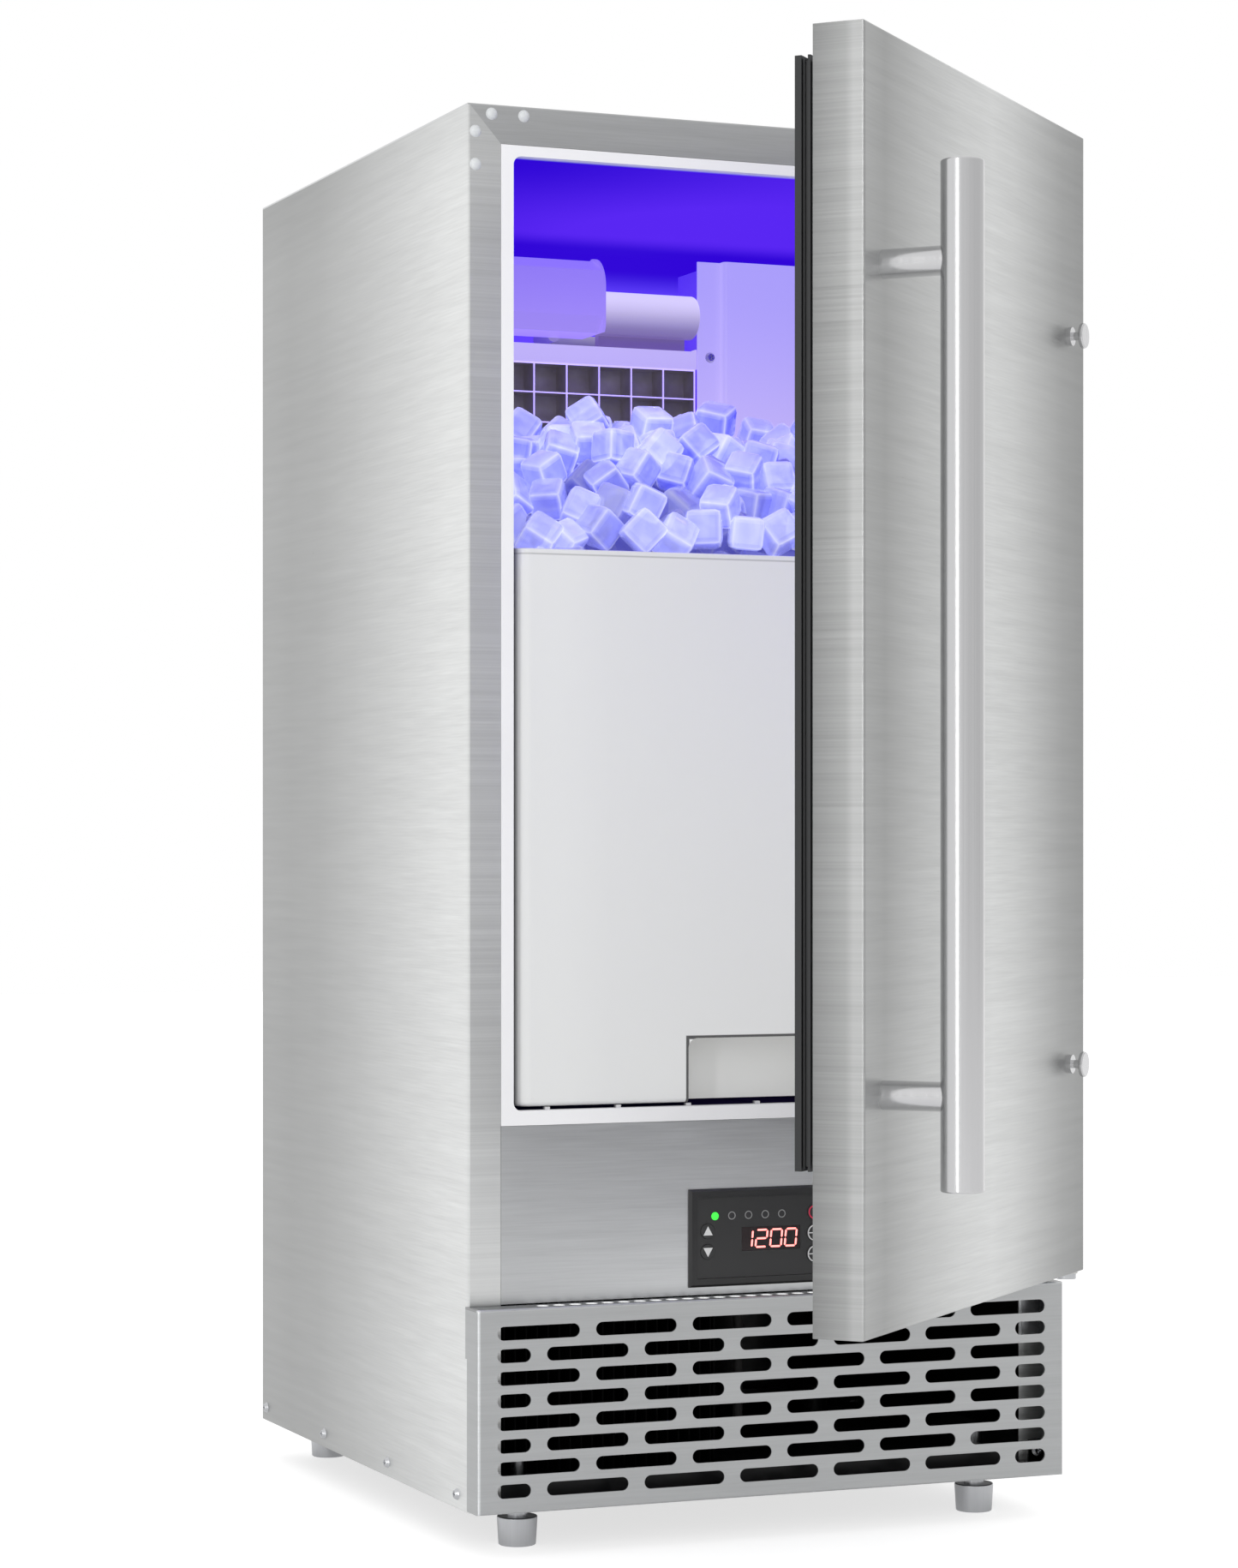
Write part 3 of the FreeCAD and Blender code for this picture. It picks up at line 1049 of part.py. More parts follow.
left_panel = drilled(left_panel, side_screws + rear_screws + grille_screws).cut(plug_holes)
right_panel = drilled(right_panel,
                      side_screws + rear_screws + grille_screws + hinge_screws + lower_plate_screws)
parts["left_side_panel"] = left_panel
parts["right_side_panel"] = right_panel
parts["top_panel"] = drilled(top_panel, hinge_screws).cut(plug_holes)
parts["rear_panel"] = drilled(rear_panel, rear_screws)
parts["base_pan"] = drilled(base_pan, side_screws + rear_screws + grille_screws)
parts["kick_grille"] = drilled(grille, grille_screws)
parts["upper_hinge"] = upper.cut([flat_screw_hole(p, a) for p, a in hinge_screws])
parts["lower_hinge"] = lower.cut([flat_screw_hole(p, a) for p, a in lower_plate_screws])
parts["evaporator_cover"] = drilled(cover, cover_screws)
parts["evaporator_frame"] = drilled(evaporator_frame, cover_screws)
screw_wells = [rod(2.2, p, a, 9.0) for p, a in side_screws + rear_screws + hinge_screws]
screw_wells += [w for w in plug_holes]
parts["foam_insulation"] = foam.cut(screw_wells)
parts["inner_liner"] = liner

os.makedirs("parts", exist_ok=True)
for name, shape in parts.items():
    shape.exportStep("parts/" + name + ".step")
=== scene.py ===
import math
import random

import bmesh
import bpy
from mathutils import Euler, Matrix, Vector


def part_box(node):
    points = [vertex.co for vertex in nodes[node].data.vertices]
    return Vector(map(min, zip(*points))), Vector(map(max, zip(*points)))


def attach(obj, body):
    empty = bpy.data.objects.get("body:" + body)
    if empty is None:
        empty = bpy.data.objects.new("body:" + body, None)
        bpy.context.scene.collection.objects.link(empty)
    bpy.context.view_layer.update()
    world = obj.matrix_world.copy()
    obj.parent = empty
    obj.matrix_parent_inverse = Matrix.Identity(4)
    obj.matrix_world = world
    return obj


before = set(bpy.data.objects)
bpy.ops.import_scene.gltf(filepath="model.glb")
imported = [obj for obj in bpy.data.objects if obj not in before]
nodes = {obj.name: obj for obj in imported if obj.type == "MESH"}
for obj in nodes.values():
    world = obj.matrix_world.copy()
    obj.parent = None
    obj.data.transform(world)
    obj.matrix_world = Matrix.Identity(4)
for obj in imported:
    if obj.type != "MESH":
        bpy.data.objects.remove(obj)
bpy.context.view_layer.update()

# ---- brushed stainless sheet ------------------------------------------------
# Cabinet sides, top, lower front panel, kick grille and door skin: 1 mm stainless,
# ground with an abrasive belt so that fine lines run level round the whole machine.
quarter = math.pi / 2
door_angle = math.radians(42.8)
front_turn = (0.0, 0.0, quarter)
door_turn = (0.0, 0.0, quarter - door_angle)


def join(tree, shader_node, inputs):
    # each input takes a value, or the output of another node
    for name, value in inputs.items():
        if isinstance(value, bpy.types.NodeSocket):
            tree.links.new(value, shader_node.inputs[name])
        else:
            shader_node.inputs[name].default_value = value


def wire(tree, kind, inputs, **settings):
    made = tree.nodes.new("ShaderNode" + kind)
    for name, value in settings.items():
        setattr(made, name, value)
    join(tree, made, inputs)
    return made


def maths(tree, operation, *values):
    return wire(tree, "Math", dict(enumerate(values)), operation=operation).outputs[0]


def fade(tree, value, start, end, low=0.0, high=1.0, kind="LINEAR"):
    # low up to the start, high from the end on
    limits = {"Value": value, "From Min": start, "From Max": end, "To Min": low, "To Max": high}
    return wire(tree, "MapRange", limits, interpolation_type=kind).outputs[0]


def mingle(tree, factor, first, second):
    colours = {"Factor": factor, "A": first, "B": second}
    return wire(tree, "Mix", colours, data_type="RGBA").outputs["Result"]


def scaled(tree, colour, amount):
    return wire(tree, "VectorMath", {0: colour, "Scale": amount}, operation="SCALE").outputs[0]


def ramp(tree, value, stops):
    # a colour for each stop, in order along the value
    made = wire(tree, "ValToRGB", {"Fac": value})
    elements = made.color_ramp.elements
    elements[0].position, elements[1].position = stops[0][0], stops[-1][0]
    for place, _ in stops[1:-1]:
        elements.new(place)
    for element, (_, colour) in zip(elements, stops):
        element.color = colour
    return made.outputs["Color"]


def whereabouts(tree):
    return wire(tree, "TexCoord", {}).outputs["Object"]


def places(tree):
    # X, Y and Z of the point, in metres, as in the frame
    return wire(tree, "SeparateXYZ", {0: whereabouts(tree)}).outputs


def fed(shader, name):
    # what goes into the shader's input so far
    return shader.inputs[name].links[0].from_socket


def start_group(name, given, results):
    group = bpy.data.node_groups.new(name, "ShaderNodeTree")
    for direction, sockets in (("INPUT", given), ("OUTPUT", results)):
        for socket_name, kind in sockets.items():
            group.interface.new_socket(socket_name, in_out=direction, socket_type="NodeSocket" + kind)
    return group, group.nodes.new("NodeGroupInput").outputs, group.nodes.new("NodeGroupOutput")


def new_finish(name):
    material = bpy.data.materials.new(name)
    material.use_nodes = True
    return material, material.node_tree, material.node_tree.nodes["Principled BSDF"]


def finish(material, *node_names):
    for node_name in node_names:
        mesh = nodes[node_name].data
        mesh.materials.clear()
        mesh.materials.append(material)


def build_brush_lines():
    group, given, result = start_group(
        "brush_lines", {"Vector": "Vector", "Colour": "Color", "Contrast": "Float", "Roughness": "Float"},
        {"Colour": "Color", "Roughness": "Float", "Height": "Float"})

    def streaks(scale, detail):
        stretched = wire(group, "VectorMath", {0: given["Vector"], 1: scale}, operation="MULTIPLY").outputs[0]
        noise = {"Vector": stretched, "Scale": 1.0, "Detail": detail, "Roughness": 0.6}
        return wire(group, "TexNoise", noise).outputs["Fac"]

    fine = streaks((1.0, 26.0, 900.0), 3.0)
    medium = streaks((1.0, 9.0, 210.0), 2.0)
    broad = streaks((1.0, 2.2, 9.0), 1.0)
    mixed = maths(group, "ADD", maths(group, "MULTIPLY", fine, 0.5), maths(group, "MULTIPLY", medium, 0.35))
    mixed = maths(group, "ADD", mixed, maths(group, "MULTIPLY", broad, 0.15))
    swing = maths(group, "MULTIPLY", maths(group, "SUBTRACT", mixed, 0.5), given["Contrast"])
    uneven = maths(group, "MULTIPLY", maths(group, "SUBTRACT", fine, 0.5), 0.25)
    join(group, result, {"Colour": scaled(group, given["Colour"], maths(group, "ADD", swing, 1.0)),
                         "Roughness": maths(group, "ADD", given["Roughness"], uneven), "Height": mixed})
    return group


brush_lines = build_brush_lines()


def lay_lines(tree, turn, colour, contrast, roughness):
    # Object coordinates, turned so that X leaves the face, Y runs along it and Z climbs it
    turned = wire(tree, "Mapping", {"Vector": whereabouts(tree), "Rotation": turn}).outputs["Vector"]
    given = {"Vector": turned, "Colour": (*colour, 1.0), "Contrast": contrast, "Roughness": roughness}
    return turned, wire(tree, "Group", given, node_tree=brush_lines).outputs


def brushed_sheet(name, colour, turn, contrast, roughness=0.34, painted_sheens=()):
    # a painted sheen is an axis, where its band starts and ends, and how bright the sheet is painted along it:
    # bands of painted reflection and shade over the lines
    material, tree, shader = new_finish(name)
    turned, lines = lay_lines(tree, turn, colour, contrast, roughness)
    face_places = wire(tree, "SeparateXYZ", {0: turned}).outputs
    shade = lines["Colour"]
    for axis, start, end, stops in painted_sheens:
        band = ramp(tree, fade(tree, face_places[axis], start, end),
                    [(place, (level, level, level, 1.0)) for place, level in stops])
        shade = wire(tree, "VectorMath", {0: shade, 1: band}, operation="MULTIPLY").outputs[0]
    bump = wire(tree, "Bump", {"Strength": 0.06, "Distance": 0.0003, "Height": lines["Height"]})
    join(tree, shader, {"Base Color": shade, "Roughness": lines["Roughness"], "Metallic": 1.0,
                        "Normal": bump.outputs["Normal"]})
    return material


# the sides: painted sheen in broad bands of painted reflection from back to front, a painted highlight on the fold
# before the stile, and a little painted shade near the top
side_steel = brushed_sheet("brushed_steel_sides", (0.88, 0.89, 0.885), (0.0, 0.0, 0.0), 0.50, painted_sheens=[
    ("Z", 0.795, 0.840, [(0.0, 1.0), (1.0, 0.90)]),
    ("Y", 0.20, -0.2015, [(0.05, 0.52), (0.16, 0.50), (0.30, 0.53), (0.48, 0.64), (0.70, 0.81), (0.90, 0.97),
                          (0.985, 1.0), (0.9925, 0.98), (0.9943, 1.12), (0.9962, 0.90), (1.0, 0.84)])])
# a dark seam where the strip meets the stile, the strip painted brighter towards the right as a sheen, and painted
# highlights on the grille's folds
panel_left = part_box("lower_front_panel")[0][0]
front_steel = brushed_sheet("brushed_steel_front", (0.64, 0.65, 0.66), front_turn, 0.45, painted_sheens=[
    ("Y", panel_left, panel_left + 0.0022, [(0.0, 0.20), (0.40, 0.28), (1.0, 1.0)]),
    ("Y", -0.15, 0.0, [(0.0, 0.98), (1.0, 1.20)])])
grille_low, grille_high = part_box("kick_grille")
grille_steel = brushed_sheet("brushed_steel_grille", (0.53, 0.54, 0.545), front_turn, 0.42, 0.38, painted_sheens=[
    ("Y", grille_low[0] + 0.0002, grille_low[0] + 0.0042,
     [(0.0, 1.0), (0.12, 1.7), (0.32, 1.6), (0.50, 1.0), (1.0, 1.0)]),
    ("Z", grille_high[2] - 0.0040, grille_high[2], [(0.0, 1.0), (0.55, 1.0), (0.85, 1.40), (1.0, 1.25)])])
# the top's front rail faces the room and is painted darker than the sheet behind it, as shade
top_steel = brushed_sheet("brushed_steel_top", (0.76, 0.77, 0.775), front_turn, 0.45, painted_sheens=[
    ("X", 0.1984, 0.1996, [(0.0, 1.0), (1.0, 0.75)])])
# on the door, bands of painted reflection run from its latch edge to its hinge edge, and the latch edge is painted
# darker towards the back
door_steel = brushed_sheet("brushed_steel_door", (0.80, 0.81, 0.805), door_turn, 0.62, painted_sheens=[
    ("Y", -0.397, -0.024, [(0.0, 0.64), (0.10, 0.53), (0.25, 0.74), (0.42, 0.92), (0.56, 0.98), (0.66, 0.88),
                           (0.80, 0.65), (0.90, 0.49), (1.0, 0.40)]),
    ("X", 0.271, 0.300, [(0.0, 0.50), (0.85, 0.80), (1.0, 1.0)])])


def paint_ledge_glints():
    # painted glints on the rims of the punched holes along the grille's ledge, and painted shade on the sheet
    # between them
    tree = grille_steel.node_tree
    shader = tree.nodes["Principled BSDF"]
    place = places(tree)
    hole_pitch, first_hole, hole_line = 0.0102, -0.1479, -0.2102
    # forty whole pitches keep the count above nothing, the half centres it on a hole
    count_from = 40.5
    from_middle = maths(tree, "ABSOLUTE", place["X"])
    count = maths(tree, "MULTIPLY_ADD", place["X"], 1.0 / hole_pitch, count_from - first_hole / hole_pitch)
    along = maths(tree, "MULTIPLY", maths(tree, "SUBTRACT", maths(tree, "FRACT", count), 0.5), hole_pitch)
    back = maths(tree, "SUBTRACT", place["Y"], hole_line)
    squares = maths(tree, "ADD", maths(tree, "MULTIPLY", along, along), maths(tree, "MULTIPLY", back, back))
    near_hole = fade(tree, maths(tree, "SQRT", squares), 0.0030, 0.0040, 1.0, 0.0)
    ledge = maths(tree, "MULTIPLY", fade(tree, place["Z"], grille_high[2] - 0.0017, grille_high[2] - 0.0012),
                  fade(tree, place["Y"], grille_low[1] + 0.0012, grille_low[1] + 0.0020))
    punched = fade(tree, from_middle, 0.1512, 0.1518, 1.0, 0.0)
    rim_glint = maths(tree, "MULTIPLY", maths(tree, "MULTIPLY", near_hole, ledge), punched)
    shade = maths(tree, "SUBTRACT", 1.0, maths(tree, "MULTIPLY", maths(tree, "SUBTRACT", ledge, rim_glint), 0.45))
    # behind the front sheet no light reaches the grille's own folds, so they are painted dark as shade
    set_back = fade(tree, place["Y"], grille_low[1] + 0.0013, grille_low[1] + 0.0016, 0.0, 0.95)
    within = fade(tree, from_middle, grille_high[0] - 0.0006, grille_high[0] - 0.0010)
    behind = maths(tree, "MULTIPLY", maths(tree, "MULTIPLY", set_back, within),
                   maths(tree, "SUBTRACT", 1.0, ledge))
    shade = maths(tree, "MULTIPLY", shade, maths(tree, "SUBTRACT", 1.0, behind))
    join(tree, shader, {"Base Color": scaled(tree, fed(shader, "Base Color"), shade),
                        "Emission Color": (1.0, 1.0, 1.0, 1.0),
                        "Emission Strength": maths(tree, "MULTIPLY", rim_glint, 0.55)})


def shade_inside():
    # the inner faces of the side panels in the machine compartment are painted near black as shade, as no light
    # reaches them
    tree = side_steel.node_tree
    shader = tree.nodes["Principled BSDF"]
    place = places(tree)
    inner = fade(tree, maths(tree, "ABSOLUTE", place["X"]), 0.1897, 0.1892)
    behind = fade(tree, place["Y"], -0.1990, -0.1985)
    hidden = maths(tree, "MULTIPLY", inner, behind)
    dark = mingle(tree, hidden, fed(shader, "Base Color"), (0.03, 0.03, 0.03, 1.0))
    join(tree, shader, {"Base Color": dark})


paint_ledge_glints()
shade_inside()
finish(side_steel, "left_side_panel", "right_side_panel")
finish(top_steel, "top_panel")
finish(front_steel, "lower_front_panel")
finish(grille_steel, "kick_grille")
finish(door_steel, "door_outer_skin")

# ---- moulded plastics of the cavity -----------------------------------------
# The thermoformed liner and the plastic parts in it are white; the violet light of the lamp in the ceiling
# is painted on them as a glow, strongest high up and weaker towards the mouth.
mouth_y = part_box("inner_liner")[0][1]


def build_moulded_grain():
    group, given, result = start_group(
        "moulded_grain",
        {"Vector": "Vector", "Colour": "Color", "Scale": "Float", "Mottle": "Float", "Roughness": "Float"},
        {"Colour": "Color", "Roughness": "Float", "Height": "Float"})
    grain = wire(group, "TexNoise", {"Vector": given["Vector"], "Scale": given["Scale"], "Detail": 3.0})
    haze = wire(group, "TexNoise", {"Vector": given["Vector"], "Scale": 14.0, "Detail": 2.0})
    centred = maths(group, "SUBTRACT", haze.outputs["Fac"], 0.5)
    swing = maths(group, "MULTIPLY_ADD", centred, given["Mottle"], 1.0)
    join(group, result, {"Colour": scaled(group, given["Colour"], swing), "Height": grain.outputs["Fac"],
                         "Roughness": maths(group, "MULTIPLY_ADD", centred, given["Mottle"], given["Roughness"])})
    return group


moulded_grain = build_moulded_grain()


def moulded(name, colour, roughness=0.35, mottle=0.08, scale=900.0, bump_strength=0.05):
    material, tree, shader = new_finish(name)
    given = {"Vector": whereabouts(tree), "Colour": (*colour, 1.0), "Scale": scale, "Mottle": mottle,
             "Roughness": roughness}
    grain = wire(tree, "Group", given, node_tree=moulded_grain).outputs
    bump = wire(tree, "Bump", {"Strength": bump_strength, "Distance": 0.0002, "Height": grain["Height"]})
    join(tree, shader, {"Base Color": grain["Colour"], "Roughness": grain["Roughness"],
                        "Normal": bump.outputs["Normal"]})
    return material


def glow_painted_plastic(name, colour, glow_low, glow_high, low_z, high_z, strength, mouth_fade=0.03, roughness=0.32):
    # white plastic with the lamp's light painted on as a glow, which climbs with height and stops at the mouth
    material = moulded(name, colour, roughness)
    tree = material.node_tree
    place = places(tree)
    climb = fade(tree, place["Z"], low_z, high_z, kind="SMOOTHSTEP")
    glow = mingle(tree, climb, (*glow_low, 1.0), (*glow_high, 1.0))
    inside = fade(tree, place["Y"], mouth_y + 0.004, mouth_y + 0.004 + mouth_fade, kind="SMOOTHSTEP")
    join(tree, tree.nodes["Principled BSDF"], {"Emission Color": mingle(tree, inside, (0.0, 0.0, 0.0, 1.0), glow),
                                               "Emission Strength": strength})
    return material, inside


liner_plastic, liner_inside = glow_painted_plastic("liner_white", (0.86, 0.86, 0.87), (0.0, 0.0, 0.002),
                                          (0.026, 0.0007, 0.66), 0.50, 0.78, 1.0, 0.007)


def paint_lamp_light_on_liner():
    # inside the cavity the white is painted near black and the lamp's violet light painted on as a glow: painted
    # shade in the corner where the ceiling meets the back wall, painted paler on the wall below it and a painted
    # pool of light on the ceiling by the lamp
    tree = liner_plastic.node_tree
    shader = tree.nodes["Principled BSDF"]
    place = places(tree)

    def spread(axis, start, end, low=0.0, high=1.0):
        return fade(tree, place[axis], start, end, low, high, "SMOOTHSTEP")

    pool = wire(tree, "Math", {0: spread("X", -0.16, 0.06, 0.0, 0.75), 1: spread("Y", -0.20, 0.02, 0.0, 0.55)},
                operation="ADD", use_clamp=True).outputs[0]
    pool = maths(tree, "MULTIPLY", pool, spread("Y", 0.045, 0.110, 1.0, 0.05))
    overhead = maths(tree, "MULTIPLY", spread("Z", 0.780, 0.800), liner_inside)
    glow = mingle(tree, maths(tree, "MULTIPLY", pool, overhead), fed(shader, "Emission Color"),
                  (0.098, 0.019, 0.88, 1.0))
    # the wall behind the water parts gets a painted glow for the light they reflect onto it
    back_wall = maths(tree, "MULTIPLY", spread("Y", 0.126, 0.1295), spread("Z", 0.802, 0.780))
    violet_lit_base = mingle(tree, liner_inside, fed(shader, "Base Color"), (0.008, 0.005, 0.022, 1.0))
    join(tree, shader, {"Base Color": violet_lit_base, "Specular IOR Level": 0.0,
                        "Emission Color": mingle(tree, back_wall, glow, (0.125, 0.055, 1.0, 1.0))})


paint_lamp_light_on_liner()
finish(liner_plastic, "inner_liner")
# the white parts in the cavity get a dark base with the lamp's light painted on as a glow, brighter or deeper by
# height
for piece_name, glow_low, glow_high, low_z, high_z in (
        ("evaporator_cover", (0.66, 0.56, 0.94), (0.46, 0.40, 0.94), 0.62, 0.79),
        ("water_feed_box", (0.36, 0.26, 0.90), (0.30, 0.21, 0.88), 0.745, 0.79),
        ("water_distributor", (0.10, 0.06, 0.22), (0.82, 0.76, 0.96), 0.743, 0.772),
        ("evaporator_frame", (0.50, 0.42, 0.88), (0.58, 0.50, 0.92), 0.70, 0.74),
        ("ice_slide", (0.20, 0.15, 0.7), (0.2, 0.15, 0.7), 0.55, 0.60)):
    plastic, _ = glow_painted_plastic(piece_name + "_plastic", (0.14, 0.12, 0.20), glow_low, glow_high, low_z, high_z, 0.80)
    finish(plastic, piece_name)


def shade_cover_side():
    # the cover's side wall turns away from the lamp, so its glow is painted a deeper violet as shade, and only its
    # front strip and face keep the lit glow
    tree = nodes["evaporator_cover"].data.materials[0].node_tree
    shader = tree.nodes["Principled BSDF"]
    strip_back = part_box("evaporator_cover")[0][1] + 0.0078
    turned = fade(tree, places(tree)["Y"], strip_back, strip_back + 0.0012)
    join(tree, shader, {"Emission Color": mingle(tree, turned, fed(shader, "Emission Color"),
                                                 (0.075, 0.020, 0.85, 1.0))})


shade_cover_side()

# ---- evaporator --------------------------------------------------------------
# Tinned copper plate with a grid of thin cell walls, the coil soldered on behind. The walls'
# front edges are painted with the lamp's violet light as a glow; the cells behind them are darker, with no glow.


def evaporator_metal():
    material, tree, shader = new_finish("tinned_evaporator")
    front_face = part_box("evaporator_plate")[0][1]
    depth = fade(tree, places(tree)["Y"], front_face + 0.0002, front_face + 0.0016)
    whitening = wire(tree, "TexNoise", {"Vector": whereabouts(tree), "Scale": 60.0, "Detail": 4.0}).outputs["Fac"]
    cell = mingle(tree, whitening, (0.10, 0.09, 0.08, 1.0), (0.46, 0.43, 0.40, 1.0))
    join(tree, shader, {"Base Color": mingle(tree, depth, (0.80, 0.74, 1.0, 1.0), cell), "Emission Strength": 0.75,
                        "Emission Color": mingle(tree, depth, (0.55, 0.45, 1.0, 1.0), (0.035, 0.03, 0.035, 1.0)),
                        "Metallic": 0.3, "Roughness": 0.45})
    return material


finish(evaporator_metal(), "evaporator_plate")

# ---- ice bin ------------------------------------------------------------------
# One moulded tub in satin white polystyrene, its hand recess at the foot of the front.
# A dark step of painted shade runs round the recess, and a faint painted line of shadow under the rim.
bin_low, bin_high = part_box("ice_bin")
recess_half = 0.049
recess_height = 0.038
bin_plastic = moulded("bin_white", (0.80, 0.807, 0.80), 0.34, 0.01)


def paint_recess_shade():
    # painted shade as a dark step round the hand recess and a shadow line under the rim, painted shade on the left
    # rounding and a little towards the left, and painted light in the recess and on the face, which the room
    # lights more evenly than the mouth of the cavity would let it
    tree = bin_plastic.node_tree
    shader = tree.nodes["Principled BSDF"]
    place = places(tree)
    beside = maths(tree, "SUBTRACT", maths(tree, "ABSOLUTE", place["X"]), recess_half)
    above = maths(tree, "SUBTRACT", place["Z"], bin_low[2] + recess_height)
    outside = maths(tree, "MAXIMUM", beside, above)
    from_step = maths(tree, "ABSOLUTE", maths(tree, "SUBTRACT", outside, 0.0005))
    step_shadow = fade(tree, from_step, 0.0008, 0.0013, 1.0, 0.0)
    from_rim = maths(tree, "ABSOLUTE", maths(tree, "SUBTRACT", place["Z"], bin_high[2] - 0.0032))
    rim_shadow = fade(tree, from_rim, 0.0002, 0.0007, 0.35, 0.0)
    lines = maths(tree, "MAXIMUM", maths(tree, "MULTIPLY", step_shadow, 0.88), rim_shadow)
    shade = maths(tree, "SUBTRACT", 1.0, lines)
    shade = maths(tree, "MULTIPLY", shade, fade(tree, place["X"], -0.145, 0.02, 0.97, 1.0))
    left_edge_shade = fade(tree, place["X"], bin_low[0] + 0.0004, bin_low[0] + 0.0022, 0.25, 1.0)
    shade = maths(tree, "MULTIPLY", shade, left_edge_shade)
    recess_light = maths(tree, "MULTIPLY", fade(tree, outside, -0.0014, -0.0008, 1.0, 0.0), 0.24)
    room_light = maths(tree, "MULTIPLY", fade(tree, place["X"], -0.10, 0.05, 0.01, 0.14), shade)
    join(tree, shader, {"Base Color": scaled(tree, fed(shader, "Base Color"), shade),
                        "Emission Color": (1.0, 1.0, 0.96, 1.0),
                        "Emission Strength": maths(tree, "MAXIMUM", recess_light, room_light)})


paint_recess_shade()
finish(bin_plastic, "ice_bin")

# ---- ice ----------------------------------------------------------------------
# Clear cubes straight off the evaporator's cells, their corners melted round and their edges
# whitened, heaped up from the bin's front rim towards the evaporator.
cube_size = 0.0215
cube_round = 0.0042
heap_pitch = 0.0222
heap_margin = 0.017
bin_wall = 0.0036
heap_rise = 0.090
layer_squeeze = 0.86
# the direction the cubes' painted light comes from
lit_from = Vector((-0.45, -0.30, 0.84))


def build_ice_cube():
    cube = bmesh.new()
    bmesh.ops.create_cube(cube, size=cube_size)
    bmesh.ops.bevel(cube, geom=list(cube.edges), offset=cube_round, offset_type="OFFSET", affect="EDGES",
                    segments=2, profile=0.5, material=-1)
    cube.normal_update()
    corners = [vert.co.copy() for vert in cube.verts]
    faces = [[vert.index for vert in face.verts] for face in cube.faces]
    normals = [face.normal.copy() for face in cube.faces]
    cube.free()
    # the white lies where a corner is about as far out along two axes, so on the middle of an edge
    whitening = []
    for corner in corners:
        reach = sorted(abs(value) for value in corner)
        whitening.append(max(0.0, (reach[1] / reach[2] - 0.86) / 0.14))
    return corners, faces, normals, whitening


def heap_height(x, y):
    rise = min(1.0, max(0.0, (y - bin_low[1]) / 0.125))
    left_dip = 0.026 * min(1.0, max(0.0, (-x - 0.075) / 0.05))
    return bin_high[2] + 0.006 + heap_rise * math.sin(rise * math.pi / 2) - left_dip


def keep_within(cube):
    # how far a cube has to shift so that none of it goes through the bin's walls
    shift = Vector((0.0, 0.0, 0.0))
    for axis in (0, 1):
        lowest = min(corner[axis] for corner in cube)
        highest = max(corner[axis] for corner in cube)
        shift[axis] = max(0.0, bin_low[axis] + bin_wall - lowest) - max(0.0, highest - bin_high[axis] + bin_wall)
    return shift


def cube_places():
    # layers of rows of cubes, each row half a pitch along from the one before it
    level = 0
    z = bin_high[2] - 0.026
    while z < bin_high[2] + 0.11:
        y = bin_low[1] + heap_margin + (level % 2) * 0.5 * heap_pitch
        row = 0
        while y < bin_high[1] - heap_margin:
            x = bin_low[0] + heap_margin + ((level + row) % 2) * 0.5 * heap_pitch
            while x < bin_high[0] - heap_margin:
                yield x, y, z
                x += heap_pitch
            y += heap_pitch
            row += 1
        z += heap_pitch * layer_squeeze
        level += 1


def heap_ice():
    corners, faces, normals, whitening = build_ice_cube()
    chance = random.Random(11)
    points, polygons, whitenings, clearness, facings, sunk = [], [], [], [], [], []
    for x, y, z in cube_places():
        place = Vector((x, y, z)) + Vector([chance.uniform(-0.005, 0.005) for _ in range(3)])
        turn = Euler([chance.uniform(-0.8, 0.8) for _ in range(3)]).to_matrix()
        size = chance.uniform(0.92, 1.08)
        clear = chance.uniform(0.2, 0.8)
        surface = heap_height(x, y) - 0.008
        if z >= surface + chance.uniform(-0.006, 0.006):
            continue
        first = len(points)
        cube = [place + turn @ (corner * size) for corner in corners]
        shift = keep_within(cube)
        points += [corner + shift for corner in cube]
        polygons += [[first + index for index in face] for face in faces]
        whitenings += whitening
        clearness += [clear] * len(corners)
        # each face is painted lighter or darker by how it faces the lamp
        facings += [0.5 + 0.5 * (turn @ normal).dot(lit_from) for normal in normals]
        # how deep a cube lies sets its painted shadow
        layers_down = (surface - place.z) / heap_pitch
        sunk += [min(1.0, max(0.0, (layers_down - 0.70) / 0.45))] * len(faces)
    mesh = bpy.data.meshes.new("ice_heap")
    mesh.from_pydata(points, [], polygons)
    for name, domain, values in (("whitening", "POINT", whitenings), ("clearness", "POINT", clearness),
                                 ("facing", "FACE", facings), ("sunk", "FACE", sunk)):
        mesh.attributes.new(name, "FLOAT", domain).data.foreach_set("value", values)
    mesh.shade_smooth()
    ice = bpy.data.objects.new("ice_heap", mesh)
    bpy.context.scene.collection.objects.link(ice)
    return ice


